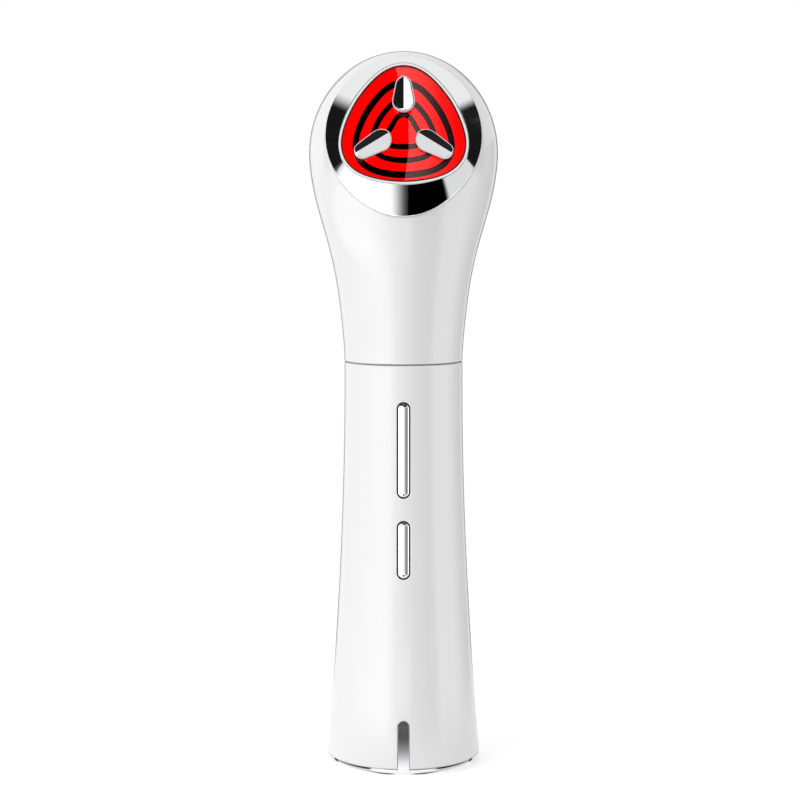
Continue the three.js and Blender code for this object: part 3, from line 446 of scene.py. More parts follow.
def pill_outline(half_width, half_length, centre, steps=20, side_steps=30):
    """Outline of a slot with round ends, standing along Z, as (x, z) pairs from the top arc's right end."""
    straight = half_length - half_width
    angles = np.linspace(0, math.pi, steps + 1)
    top = [(half_width * math.cos(a), centre + straight + half_width * math.sin(a)) for a in angles]
    left = [(-half_width, centre + z) for z in np.linspace(straight, -straight, side_steps + 1)[1:-1]]
    bottom = [(-x, 2 * centre - z) for x, z in top]
    right = [(-x, 2 * centre - z) for x, z in left]
    return np.array(top + left + bottom + right)


def across_cap(start, count, steps=20):
    """Faces that close a ring of a mirrored outline with strips from its left side to its right side."""
    faces = []
    for i in range(steps // 2, steps // 2 + count // 2):
        corners = [i % count, (i + 1) % count, (steps - i - 1) % count, (steps - i) % count]
        faces.append(tuple(start + c for c in dict.fromkeys(corners)))
    return faces


def foot_slot_outline(half_width, grow, steps=20):
    """Outline of the foot's slot: a round top, and sides that flare a little where they leave the shell."""
    points = []
    for angle in np.linspace(0, math.pi, steps + 1):
        x = (half_width + grow) * math.cos(angle)
        points.append((x, foot_slot_top - half_width + (half_width + grow) * math.sin(angle)))
    low = foot_lift - 3
    for side in (-1, 1):
        leg = []
        for angle in (0, 0.5, 1.0, 1.57):
            out = foot_slot_flare * (1 - math.cos(angle))
            rise = foot_slot_flare * (1 - math.sin(angle))
            leg.append((side * (half_width + grow + out), foot_lift + rise))
        leg.append((side * (half_width + grow + foot_slot_flare), low))
        points += leg if side < 0 else leg[::-1]
    return np.array(points)


def stood_up(outline, depth):
    """Ring of an outline of (x, z) pairs, stood a depth in front of the wand's axis."""
    return np.column_stack([outline[:, 0], -np.broadcast_to(depth, len(outline)), outline[:, 1]])


def slot_cutter(name, outline_at):
    """Cutter whose sides turn out in a small fillet where they meet the shell's outer surface."""
    rings = []
    for depth in slot_cutter_depths:
        outline = outline_at(0.0)
        rings.append(stood_up(outline, grip_radius(outline[:, 1]) - depth))
    for angle in np.linspace(0, slot_round_ends, 7):
        grow = slot_edge_round * (1 - math.cos(angle))
        rise = slot_edge_round * (math.sin(angle) - math.sin(slot_round_meets))
        outline = outline_at(grow)
        depth = np.sqrt((grip_radius(outline[:, 1]) + rise) ** 2 - outline[:, 0] ** 2)
        rings.append(stood_up(outline, depth))
    outline = outline_at(slot_edge_round)
    rings.append(stood_up(outline, grip_radius(outline[:, 1]) + slot_cutter_proud))
    return stacked_piece(name, rings, closed=False)


key_half = key_slot_width / 2


def key_slot_outline(length, centre):
    return lambda grow: pill_outline(key_half + grow, length / 2 + grow, centre)


def settle(made, sharp_degrees=35):
    """Turns an object's modifiers into its plain mesh."""
    evaluated = made.evaluated_get(bpy.context.evaluated_depsgraph_get())
    mesh = bpy.data.meshes.new_from_object(evaluated)
    made.modifiers.clear()
    made.data = mesh
    mesh.shade_smooth()
    mesh.set_sharp_from_angle(angle=math.radians(sharp_degrees))


def cut_out(made, cutters, sharp_degrees=35):
    """Cuts the cutters' shapes out of an object and removes the cutters."""
    for cutter in cutters:
        cut = made.modifiers.new(cutter.name, "BOOLEAN")
        cut.operation = "DIFFERENCE"
        cut.solver = "EXACT"
        cut.object = cutter
    settle(made, sharp_degrees)
    for cutter in cutters:
        bpy.data.objects.remove(cutter)


slot_cutters = [
    slot_cutter("long_slot", key_slot_outline(long_slot_length, long_slot_centre)),
    slot_cutter("short_slot", key_slot_outline(short_slot_length, short_slot_centre)),
    slot_cutter("foot_slot", lambda grow: foot_slot_outline(foot_slot_width / 2, grow)),
]
cut_out(grip_shell, slot_cutters, sharp_degrees=28)
grip_shell.data.materials.clear()
grip_shell.data.materials.append(gloss_abs)
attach(grip_shell, body)
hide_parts("handle_housing")


# Neck seal
# A flat ring of grey silicone in the rebate between head and grip. It fills the seam's groove, and is
# held between the two mouldings when the head's spigot is pushed home.

seal_inset = 0.35
seal_side_gap = 0.15
seal_face_gap = 0.04
seal_outer = waist_radius - seal_inset
seal_low = rebate_floor + seal_side_gap
seal_high = head_bottom - seal_face_gap
seal_inner = spigot_radius + seal_side_gap
seal_step = rebate_radius - seal_side_gap
seal_section = [
    (seal_inner, seal_low),
    (seal_step, seal_low),
    (seal_step, grip_top + seal_face_gap),
    (seal_outer, grip_top + seal_face_gap),
    (seal_outer, seal_high),
    (seal_inner, seal_high),
]
neck_seal = revolved_piece("neck_seal_ring", seal_section, grip_sides)

# Silicone, moulded and left matt: it takes light softly, with a fine bloom of dust
silicone_looks = {"Base Color": ("#8C8E92", "#A0A2A5"), "Roughness": 0.6, "IOR": 1.41}
grey_silicone = varied_material("grey_silicone", 1.5, 4.0, silicone_looks)
neck_seal.data.materials.append(grey_silicone)
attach(neck_seal, body)
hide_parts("neck_seal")


# Face bezel
# The trim ring round the lens: an ABS moulding with bright chrome plating, pressed on to the head's rim.
# Its cone climbs from the rim to the lens, and a lip that turns in under the lens's gasket holds it.

face_sides = 360
flat_ring_share = 1.7
bezel_edge_step = 0.1
bezel_edge_height = 0.7
bezel_corner_band = 2.35
bezel_crest = 0.15
lip_reach = 1.2
lip_thickness = 0.5
trim_gap = 0.15
edge_gap = 0.04
gasket_width = 0.55
gasket_proud = 0.12
gasket_flange = 0.3
lens_rise = 2.6
lens_thickness = 1.2
lens_lobe_share = 0.0907
lens_corner_share = 0.0106
corner_angles = np.radians([90, 210, 330])
face_across = np.array([1.0, 0, 0])
face_up = np.array([0, math.sin(face_tilt), math.cos(face_tilt)])
face_out = np.array([0, -math.cos(face_tilt), math.sin(face_tilt)])
face_around = np.linspace(0, 2 * math.pi, face_sides, endpoint=False)


def on_face(x, y, level):
    """Points measured in the face's plane and out from it, as points of the wand."""
    x, y, level = np.broadcast_arrays(np.asarray(x, float), y, level)
    return face_centre + x[..., None] * face_across + y[..., None] * face_up + level[..., None] * face_out


def face_reach(angles):
    """Distances from the face's centre to the head's outer surface, along the face's plane."""
    directions = np.cos(angles)[:, None] * face_across + np.sin(angles)[:, None] * face_up
    return np.linalg.norm(reach_to_head(face_centre, directions, 0) - face_centre, axis=1)


def lobed_radius(angles, mean_radius, lobe_share, corner_share=lens_corner_share):
    """Rounded triangle with a corner at the top, as a radius at each angle."""
    turn = 3 * (angles - math.pi / 2)
    return mean_radius * (1 + lobe_share * np.cos(turn) + corner_share * np.cos(2 * turn))


def eased_rings(rings, rounds):
    """Closed stack of rings with rounded corners; a ring close by each fillet keeps the flats flat."""
    eased = []
    for i, (corner, size) in enumerate(zip(rings, rounds)):
        before, after = rings[i - 1], rings[(i + 1) % len(rings)]
        if size:
            start, end = moved_towards(corner, before, size), moved_towards(corner, after, size)
            eased.append(moved_towards(corner, before, flat_ring_share * size))
            eased += rounded_corner(start, corner, end)
            eased.append(moved_towards(corner, after, flat_ring_share * size))
        else:
            eased.append(corner)
    return eased


corner_reach = face_reach(corner_angles).min() - bezel_corner_band - gasket_width
lens_radius = corner_reach / (1 + lens_lobe_share + lens_corner_share)
lens_outline = lobed_radius(face_around, lens_radius, lens_lobe_share)


def face_rings(corners, stretch=1.0):
    """Rings on the face from pairs of a reach, round the face's centre, and a height."""
    rings = []
    for reach, level in corners:
        rings.append(on_face(reach * np.cos(face_around), stretch * reach * np.sin(face_around), level))
    return rings


def lens_shaped(name, profile, closed=False):
    """Piece with the lens's outline, from pairs of a distance inside it and a height."""
    rings = face_rings([(lens_outline - inset, level) for inset, level in profile])
    return stacked_piece(name, rings, closed)


lens_bottom = lens_rise - lens_thickness
flange_top = lens_bottom - trim_gap
flange_bottom = flange_top - gasket_flange
lip_top = flange_bottom - trim_gap
lip_bottom = lip_top - lip_thickness
bezel_outer = face_reach(face_around) - bezel_edge_step
bezel_inner = lens_outline + gasket_width
bezel_corners = [
    (bezel_outer, lip_bottom),
    (bezel_outer, bezel_edge_height),
    (bezel_inner, lens_rise + bezel_crest),
    (bezel_inner, lip_top),
    (bezel_inner - lip_reach, lip_top),
    (bezel_inner - lip_reach, lip_bottom),
]
bezel_rounds = [0.08, 0.1, 0.09, 0.1, 0.1, 0.1]
bezel = stacked_piece("bezel_ring", eased_rings(face_rings(bezel_corners), bezel_rounds))

# Bright chrome over nickel on polished plastic: a near perfect mirror, faintly cool. The plating takes
# the very small waviness of the moulding under it, and fingers leave soft patches that are less sharp.
bright_chrome = varied_material(
    "bright_chrome_plate",
    14.0,
    4.0,
    {"Base Color": "#E9EAEC", "Metallic": 1.0, "Roughness": (0.03, 0.07, 0.35, 0.75)},
    bump=(0.04, 0.01, 6.0, 1.0),
)
bezel.data.materials.append(bright_chrome)
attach(bezel, body)
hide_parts("face_bezel")


# Lens gasket
# A white silicone ring, moulded to the lens's outline: it fills the joint between bezel and lens, and
# the flange at its foot lies under the lens.

gasket_reach = 0.2
gasket_corners = [
    (lens_outline + gasket_width - edge_gap, lens_rise + gasket_proud),
    (lens_outline + gasket_width - edge_gap, flange_bottom),
    (lens_outline - gasket_reach, flange_bottom),
    (lens_outline - gasket_reach, flange_top),
    (lens_outline + edge_gap, flange_top),
    (lens_outline + edge_gap, lens_rise + gasket_proud),
]
gasket_rounds = [0.12, 0.06, 0.06, 0.06, 0, 0.12]
gasket = stacked_piece("lens_gasket_ring", eased_rings(face_rings(gasket_corners), gasket_rounds))

# White silicone, moulded: satin, and a little uneven where the mould was dusted
silicone_looks = {"Base Color": "#FAFAF9", "Roughness": (0.42, 0.6), "IOR": 1.41}
white_silicone = varied_material("white_silicone", 2.0, 3.0, silicone_looks)
gasket.data.materials.append(white_silicone)
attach(gasket, body)
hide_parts("lens_gasket")


# Lens
# The window over the red light: 1.2 mm clear red acrylic, moulded and polished, a triangle with round
# corners. The contact bars stand on it, and their tabs pass down through three small holes.

lens_edge_round = 0.15
baffle_height = 0.5
baffle_depth = 2.9
baffle_width = 1.1
outer_baffle_width = 1.32
baffle_stretch = 1.03
outer_ring_share = 0.824
middle_ring_share = 0.55
inner_ring_share = 0.312
inner_ring_lobe_share = 0.135
tab_width = 2.0
tab_thickness = 1.0
tab_shift = 0.3
tab_hole_gap = 0.06
tab_hole_past = 1.0


def tab_reach(angle):
    """A bar's tab passes between the inner and the middle black ring, which are stretched upwards."""
    stretch = math.hypot(math.cos(angle), baffle_stretch * math.sin(angle))
    inner_edge = lobed_radius(angle, lens_radius * inner_ring_share, inner_ring_lobe_share) * stretch
    outer_edge = lobed_radius(angle, lens_radius * middle_ring_share, lens_lobe_share) * stretch
    return (inner_edge + (outer_edge - baffle_width)) / 2 + tab_shift


def tab_shape(name, angle, clearance, bottom, top):
    """Block round a bar's tab, in place on the face."""
    half = tab_thickness / 2 + clearance
    side = tab_width / 2 + clearance
    middle = tab_reach(angle)
    rings = []
    for level in (bottom, top):
        x = np.array([middle - half, middle + half, middle + half, middle - half])
        y = np.array([-side, -side, side, side])
        turned_x = x * math.cos(angle) - y * math.sin(angle)
        turned_y = x * math.sin(angle) + y * math.cos(angle)
        rings.append(on_face(turned_x, turned_y, level))
    return stacked_piece(name, rings, closed=False)


def flatten_ends(made):
    """Shades the faces with many corners flat, as a plane end should be."""
    for face in made.data.polygons:
        if len(face.vertices) > 4:
            face.use_smooth = False


def cut_tab_holes(made, bottom, top):
    """Cuts the three holes that the contact bars' tabs pass through."""
    ends = (bottom - tab_hole_past, top + tab_hole_past)
    cut_out(made, [tab_shape("tab_hole", angle, tab_hole_gap, *ends) for angle in corner_angles])
    flatten_ends(made)


lens_profile = [(0.1, lens_bottom), (0.03, lens_bottom + 0.03), (0, lens_bottom + 0.1)]
for angle in np.linspace(0, math.pi / 2, 5):
    inset = lens_edge_round * (1 - math.cos(angle))
    lens_profile.append((inset, lens_rise - lens_edge_round * (1 - math.sin(angle))))
lens = lens_shaped("clear_red_lens", lens_profile)
cut_tab_holes(lens, lens_bottom, lens_rise)

# Clear acrylic with a red dye, polished: nearly no haze, and faint flow lines from the moulding
acrylic_looks = {"Base Color": "#FF5A48", "Roughness": (0.0, 0.02), "IOR": 1.49, "Transmission Weight": 1.0}
red_acrylic = varied_material("clear_red_acrylic", 8, 2.0, acrylic_looks)
lens.data.materials.append(red_acrylic)
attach(lens, body)
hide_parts("window_lens")

# A bead of dark red sealant fills the groove between the lens's rounded rim and the gasket. Its dark red is
# painted shade: the dark edge of the lens, drawn as a thin line round it
bead_profile = [(-0.03, -0.03), (-0.03, 0.08), (0.26, 0.05), (0.3, 0.004)]
bead = lens_shaped("lens_shade_bead", [(inset, lens_rise + level) for inset, level in bead_profile], True)
sealant_looks = {"Base Color": ("#520403", "#640605"), "Roughness": 0.6, "IOR": 1.41}
shade_red_sealant = varied_material("shade_dark_red_sealant", 0.7, 3.0, sealant_looks)
bead.data.materials.append(shade_red_sealant)
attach(bead, body)


# Black rings
# Three closed rings under the lens, moulded in black plastic, that part the light into red bands.
# They rest on the diffuser plate.

baffle_top = lens_rise - baffle_depth
baffle_bottom = baffle_top - baffle_height
rings_wanted = [
    ("outer_black_ring", "outer_baffle", outer_ring_share, lens_lobe_share, outer_baffle_width),
    ("middle_black_ring", "middle_baffle", middle_ring_share, lens_lobe_share, baffle_width),
    ("inner_black_ring", "inner_baffle", inner_ring_share, inner_ring_lobe_share, baffle_width),
]

# Matt black optical coating over the moulded rings: it swallows nearly all light, with a fine grain
coating_looks = {"Base Color": ("#020202", "#080808"), "Roughness": 0.95, "Specular IOR Level": 0.02}
matt_black = varied_material("matt_black_coating", 0.4, 2.0, coating_looks)

for name, node, ring_share, lobe_share, width in rings_wanted:
    outer = lobed_radius(face_around, lens_radius * ring_share, lobe_share)
    inner = outer - width
    corners = [(outer, baffle_bottom), (outer, baffle_top), (inner, baffle_top), (inner, baffle_bottom)]
    ring = stacked_piece(name, eased_rings(face_rings(corners, baffle_stretch), [0, 0.06, 0.06, 0]))
    ring.data.materials.append(matt_black)
    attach(ring, body)
    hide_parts(node)


# Diffuser plate
# A shallow dish of opal red acrylic, 1 mm thick, under the rings; its rim reaches up to the lens. The
# light board behind it is on, so it glows an even red, with a slow change of brightness across it.

diffuser_inset = 0.8
diffuser_thickness = 1.0
diffuser_top = baffle_bottom - trim_gap
diffuser_bottom = diffuser_top - diffuser_thickness
rim_outer = 0.27
rim_foot_width = 0.75
rim_top_width = 0.25
rim_foot_height = 0.1
rim_blend = 0.15
rim_flare_height = 0.3
rim_inner = rim_outer + rim_foot_width
rim_lens_gap = 0.06
rim_top = lens_bottom - rim_lens_gap
diffuser_profile = [
    (diffuser_inset, diffuser_bottom),
    (diffuser_inset, diffuser_top),
    (rim_outer, diffuser_top + rim_flare_height),
    (rim_outer, rim_top),
    (rim_outer + rim_top_width, rim_top),
    (rim_inner, diffuser_top + rim_foot_height),
    (rim_inner + rim_blend, diffuser_top),
]
diffuser = lens_shaped("red_diffuser", diffuser_profile)
cut_tab_holes(diffuser, diffuser_bottom, diffuser_top)

# Opal red acrylic, lit from behind: satin, and a slow change of brightness, about one light to the next
opal_looks = {
    "Base Color": "#E00E0A",
    "Roughness": 0.5,
    "IOR": 1.49,
    "Emission Color": "#FF0B05",
    "Emission Strength": (0.93, 1.07),
}
opal_red = varied_material("opal_red_acrylic", 9, 1.0, opal_looks)
diffuser.data.materials.append(opal_red)
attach(diffuser, body)
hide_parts("diffuser_plate")


# Contact bars
# Three tapered bars with a gable roof, die cast and chromed, that carry the current to the skin.
# Each has a tab under it that runs down to the light board.

bar_inner_radius = 2.2
bar_outer_radius = 1.6
bar_from_corner = 8.16
bar_inner_reach = corner_reach - bar_from_corner
bar_skirt = 0.55
bar_ridge = 1.5
bar_edge_round = 0.2
bar_arc_steps = 24
bar_fit = 0.02
collar_width = 0.13
collar_foot = 0.42
collar_drop = 0.11
collar_round = 0.06
bar_seal_width = 0.12
bar_seal_top_width = 0.07
bar_seal_gap = 0.01
light_gap = 4.2
bar_bottom = lens_rise + trim_gap
collar_bottom = bar_bottom + collar_foot
bar_seal_top = collar_bottom - bar_seal_gap
bar_eave = bar_bottom + bar_skirt
bars_wanted = [
    ("top", corner_angles[0], 7.2, 0),
    ("left", corner_angles[1], 8.05, math.radians(2.6)),
    ("right", corner_angles[2], 8.05, math.radians(-2.6)),
]


def bar_outline(inset, length):
    """Outline of a bar that points out along X from its inner end's middle: a large round end inside, a
    smaller one outside."""
    outer_centre = length - bar_inner_radius - bar_outer_radius
    lean = math.asin((bar_inner_radius - bar_outer_radius) / outer_centre)
    quarter = math.pi / 2
    outer_angles = np.linspace(lean - quarter, quarter - lean, bar_arc_steps + 1)
    inner_angles = np.linspace(quarter - lean, 3 * quarter + lean, bar_arc_steps + 1)
    outer_end = outer_centre + (bar_outer_radius - inset) * np.exp(1j * outer_angles)
    inner_end = (bar_inner_radius - inset) * np.exp(1j * inner_angles)
    return np.concatenate([outer_end, inner_end])


def roof_height(offset):
    return bar_eave + bar_ridge * (1 - np.abs(offset) / bar_inner_radius)


bar_count = 2 * (bar_arc_steps + 1)
outer_tip = bar_arc_steps // 2
inner_tip = outer_tip + bar_arc_steps + 1
bar_turns = np.linspace(0, math.pi / 2, 7)
top_start = (2 + len(bar_turns)) * bar_count
bar_faces = quads(3 + len(bar_turns), bar_count, False)
bar_faces.append(tuple(reversed(range(bar_count))))
bar_faces.append(tuple(top_start + i for i in range(outer_tip, inner_tip + 1)))
bar_faces.append(tuple(top_start + i % bar_count for i in range(inner_tip, outer_tip + bar_count + 1)))
light_board_top = diffuser_bottom - light_gap


def on_bar(outline, level, angle, lean):
    """Points measured along and across a bar, as points of the wand."""
    turned = (outline * np.exp(1j * lean) + bar_inner_reach) * np.exp(1j * angle)
    return on_face(turned.real, turned.imag, level)


def join_to(made, others):
    """Adds other objects' meshes to an object's own, and removes those objects."""
    joined = bmesh.new()
    for each in [made] + others:
        joined.from_mesh(each.data)
    joined.to_mesh(made.data)
    joined.free()
    for each in others:
        bpy.data.objects.remove(each)


def round_bar(section, length, angle, lean):
    """Rings round a bar, from pairs of a distance outside its outline and a height on the face."""
    return [on_bar(bar_outline(-out, length), level, angle, lean) for out, level in section]


for side, angle, length, lean in bars_wanted:
    roof_edge = roof_height(bar_outline(bar_edge_round, length).imag)
    bar_foot = [(0.12, bar_bottom), (0.03, bar_bottom + 0.03), (0, bar_bottom + 0.12)]
    bar_rings = [(bar_outline(inset, length), level) for inset, level in bar_foot]
    for turn in bar_turns:
        outline = bar_outline(bar_edge_round * (1 - math.cos(turn)), length)
        bar_rings.append((outline, roof_edge - bar_edge_round * (1 - math.sin(turn))))
    points = [on_bar(outline, level, angle, lean) for outline, level in bar_rings]
    bar = mesh_piece(f"contact_bar_{side}", np.concatenate(points), bar_faces)
    join_to(bar, [tab_shape("tab", angle, 0, light_board_top + trim_gap, bar_eave)])
    bar.data.materials.append(bright_chrome)
    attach(bar, body)
    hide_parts(f"electrode_{side}")
    # A white silicone collar wraps each bar's sides up to its roof, over a bead of the red sealant that
    # seals the tab's hole in the lens. The dark bead is painted shade: the fine dark line under each bar
    collar_section = [
        (collar_width, collar_bottom),
        (collar_width, roof_edge - collar_drop - collar_round),
        (collar_width - collar_round, roof_edge - collar_drop),
        (bar_fit, roof_edge - collar_drop),
        (bar_fit, collar_bottom),
    ]
    collar = stacked_piece(f"bar_collar_{side}", round_bar(collar_section, length, angle, lean))
    collar.data.materials.append(white_silicone)
    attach(collar, body)
    seal_section = [
        (bar_seal_width, bar_bottom),
        (bar_seal_top_width, bar_seal_top),
        (bar_fit, bar_seal_top),
        (bar_fit, bar_bottom),
    ]
    shade_sleeve = stacked_piece(f"bar_shade_seal_{side}", round_bar(seal_section, length, angle, lean))
    shade_sleeve.data.materials.append(shade_red_sealant)
    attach(shade_sleeve, body)


# Light module
# A white frame moulding carries the plate, the rings and the light board, and three screws hold its
# ears to the head. Six light sources sit on the board. These nodes keep their own shapes.

# White ABS with a fine spark-eroded grain, as on hidden mouldings
frame_looks = {"Base Color": ("#DCDCD8", "#E4E4E0"), "Roughness": 0.5, "IOR": 1.53}
frame_abs = varied_material("white_frame_abs", 0.5, 3.0, frame_looks, bump=(0.2, 0.02, 0.5, 3.0))

# Glass-fibre laminate under green solder mask: the weave shows through faintly
fibre_pitch_mm = 0.5
laminate_looks = {"Roughness": (0.25, 0.45), "IOR": 1.55}
board_laminate = varied_material("green_board_laminate", 3, 2.0, laminate_looks)
tree = board_laminate.node_tree
place = tree.nodes["Texture Coordinate"].outputs["Object"]
fibres = {"Color1": colour("#1E5B36"), "Color2": colour("#22633C"), "Scale": 1 / (fibre_pitch_mm * MM)}
weave = add_node(tree, "ShaderNodeTexChecker", {"Vector": place, **fibres})
tree.links.new(weave.outputs["Color"], tree.nodes["Principled BSDF"].inputs["Base Color"])

# Nickel-plated steel, barrel plated: bright, with a fine rub
nickel_looks = {"Base Color": "#C9C6BE", "Metallic": 1.0, "Roughness": (0.18, 0.34)}
nickel_steel = varied_material("nickel_plated_steel", 0.6, 4.0, nickel_looks)

# Clear yellowish epoxy over the light sources, slightly cloudy
epoxy_looks = {"Base Color": ("#EFE6C4", "#F6F0DC"), "Roughness": 0.2, "IOR": 1.54}
light_resin = varied_material("cast_epoxy", 1.2, 2.0, epoxy_looks)


def dress(material, nodes):
    """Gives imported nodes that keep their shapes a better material."""
    for node in nodes:
        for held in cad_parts[node].material_slots:
            held.material = material


dress(frame_abs, ["module_frame"])
dress(board_laminate, ["led_board"])
dress(nickel_steel, ["module_screw_1", "module_screw_2", "module_screw_3"])
dress(light_resin, [f"red_led_{i}" for i in range(1, 7)])


# Keys
# Two chromed ABS keys with rounded faces. A flange behind each slot keeps the key from falling out, and
# the snap dome of the switch behind it pushes it back. A black silicone sleeve lines each slot; its black
# is painted shade, the dark of the gap round each key.

key_gap = 0.16
key_proud = 0.15
key_crown = 0.62
key_lap = 0.7
key_flange_thickness = 0.9
key_edge_round = 0.1
key_skirt = 0.2
key_crown_steps = 18
seal_depth = 0.16
seal_end = 1.5
seal_fit = 0.01
seal_width = 0.12
seal_round = 0.03
flange_half_width = key_half + key_lap
flange_depth = math.sqrt(bore_radius**2 - flange_half_width**2) - fit_gap
flange_back = flange_depth - key_flange_thickness


def key_piece(name, slot_length, centre):
    half_width = key_half - key_gap
    half_length = slot_length / 2 - key_gap

    def ring(inset, depth):
        outline = pill_outline(half_width - inset, half_length - inset, centre)
        return stood_up(outline, depth)

    def crowned(inset, drop):
        outline = pill_outline(half_width - inset, half_length - inset, centre)
        return stood_up(outline, grip_radius(outline[:, 1]) + key_proud - drop)

    lap = -key_lap - key_gap
    edge = key_edge_round
    rings = [ring(lap, flange_back), ring(lap, flange_depth - edge), ring(lap + edge, flange_depth)]
    rings += [ring(-edge, flange_depth), ring(0, flange_depth + edge), crowned(0, key_crown + key_skirt)]
    for angle in np.linspace(0, math.radians(87), key_crown_steps + 1):
        rings.append(crowned(half_width * (1 - math.cos(angle)), key_crown * (1 - math.sin(angle))))
    count = len(rings[0])
    faces = quads(len(rings), count, False) + [tuple(reversed(range(count)))]
    faces += across_cap((len(rings) - 1) * count, count)
    return mesh_piece(name, np.concatenate(rings), faces)


def key_shade_sleeve(name, slot_length, centre):
    """Sleeve that lines a slot a little below the shell's surface, and leaves the key room to move. Its black
    is painted shade for the gap round the key.
    """

    def ring(inset, depth):
        outline = pill_outline(key_half - inset, slot_length / 2 - inset, centre)
        return stood_up(outline, grip_radius(outline[:, 1]) - depth)

    crest = seal_depth - seal_round
    rings = [ring(seal_fit, seal_end), ring(seal_fit, seal_depth), ring(seal_fit + seal_round, crest)]
    rings += [ring(seal_width - seal_round, crest), ring(seal_width, seal_depth), ring(seal_width, seal_end)]
    return stacked_piece(name, rings)


# Black silicone, moulded: dull and very dark. It is painted shade: the key sleeves draw the shade in the gap
# round each key as a fine black line, and the foot's ring draws the dark gap and streaks at the foot's edge
silicone_looks = {"Base Color": ("#0A0A0B", "#1A1A1B"), "Roughness": 0.7, "IOR": 1.41}
shade_black_silicone = varied_material("shade_black_silicone", 0.8, 3.0, silicone_looks)

keys_wanted = [
    ("long_key", "level_key", "level_button", long_slot_length, long_slot_centre),
    ("short_key", "power_key", "power_button", short_slot_length, short_slot_centre),
]
for name, _, _, slot_length, centre in keys_wanted:
    shade_sleeve = key_shade_sleeve(f"{name}_seal", slot_length, centre)
    shade_sleeve.data.materials.append(shade_black_silicone)
    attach(shade_sleeve, body)

for name, node, button, slot_length, centre in keys_wanted:
    key = key_piece(name, slot_length, centre)
    key.data.materials.append(bright_chrome)
    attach(key, button)
    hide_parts(node)


# Switches and main board
# Snap switches behind the keys, and the control board along the grip with its large parts. Two screws
# hold the board to the chassis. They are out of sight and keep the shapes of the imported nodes.

# Black ABS, moulded, lightly textured: dull, with a fine grain
abs_looks = {"Base Color": "#0B0B0C", "Roughness": (0.4, 0.6), "IOR": 1.53}
black_abs = varied_material("black_abs", 0.4, 2.0, abs_looks, bump=(0.15, 0.01, 0.4, 2.0))

dress(black_abs, ["level_switch_stem", "power_switch_stem", "controller_chip"])
dress(nickel_steel, ["level_switch", "power_switch", "board_screw_upper", "board_screw_lower"])
dress(board_laminate, ["main_board"])
dress(frame_abs, ["cable_socket"])

# Sintered ferrite: dark, dry, with fine pits
ferrite = varied_material(
    "sintered_ferrite",
    0.35,
    0.0,
    {"Base Color": ("#2A2A2C", "#3A3A3C"), "Roughness": 0.75},
    bump=(0.3, 0.02, 0.35, 0.0),
    kind="ShaderNodeTexVoronoi",
)
dress(ferrite, ["pulse_transformer"])


def sleeve_material(name, dark, light, roughness):
    """Coloured plastic skin, drawn or shrunk on: smooth, with soft streaks a few millimetres long."""
    looks = {"Base Color": (dark, light), "Roughness": (roughness, roughness + 0.12), "IOR": 1.53}
    return varied_material(name, 2.0, 3.0, looks, stretch=(1, 1, 0.2))


dress(sleeve_material("capacitor_shrink_sleeve", "#1B2130", "#262E42", 0.25), ["storage_capacitor"])


# Chassis, cell and wiring
# A white carrier moulding holds the board and the rechargeable cell. The cell's two leads and the flat
# cable to the head are plain insulated wire.

dress(frame_abs, ["chassis"])
dress(sleeve_material("cell_shrink_sleeve", "#1D5497", "#2B69AF", 0.25), ["battery"])
dress(sleeve_material("red_wire_insulation", "#A01414", "#B21C1C", 0.4), ["battery_lead_red"])
black_insulation = sleeve_material("black_wire_insulation", "#101011", "#1A1A1C", 0.4)
dress(black_insulation, ["battery_lead_black", "head_cable"])


# Charging socket
# A standard oval charging inlet in the underside: a drawn steel can with a black tongue that carries
# small gold contacts on both of its faces.

port_width = 9.0
port_height = 3.2
port_length = 7.5
port_wall = 0.32
port_hollow = 6.0
port_mouth_margin = 0.3
port_tongue = (6.6, 0.7, 5.0)
contact_width = 0.28
contact_pitch = 0.5
contact_count = 12
contact_thickness = 0.03
contact_length = port_tongue[2] - 1.2
contact_from_tip = 0.35
port_depth = 8.344
port_centre = np.array([0, -port_depth, 0])


def port_ring(margin, level, steps=16):
    """Oval of the socket, seen from below, at a height."""
    radius = port_height / 2
    outline = pill_outline(radius + margin, port_width / 2 + margin, 0, steps)
    return np.column_stack([outline[:, 1], outline[:, 0], np.full(len(outline), level)]) + port_centre


can_low = foot_lift
can_profile = [
    (-port_wall, port_hollow),
    (-port_wall, 0.3),
    (-port_wall, 0.05),
    (-port_wall / 2, 0),
    (0, 0.05),
    (0, port_length - 0.2),
    (-0.2, port_length),
]
can_rings = [port_ring(margin, can_low + level) for margin, level in can_profile]
can = stacked_piece("socket_can", can_rings, closed=False)
can.data.materials.append(nickel_steel)
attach(can, body)
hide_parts("usb_socket")

tongue_high = can_low + port_hollow - trim_gap
tongue_low = tongue_high - port_tongue[2]
tongue_rings = []
for inset, level in [(0.12, tongue_low), (0, tongue_low + 0.12), (0, tongue_high)]:
    half_x, half_y = port_tongue[0] / 2 - inset, port_tongue[1] / 2 - inset
    corners = [(-half_x, -half_y), (half_x, -half_y), (half_x, half_y), (-half_x, half_y)]
    tongue_rings.append(np.array([(x, y, level) for x, y in corners]) + port_centre)
socket_tongue = stacked_piece("socket_tongue", tongue_rings, closed=False)
socket_tongue.data.materials.append(black_abs)
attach(socket_tongue, body)
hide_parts("usb_tongue")

# Gold-plated copper contacts: warm, bright and a little worn where plugs slide
gold_looks = {"Base Color": "#E2B866", "Metallic": 1.0, "Roughness": (0.15, 0.4)}
gold_plate = varied_material("gold_plated_contact", 0.3, 3.0, gold_looks)

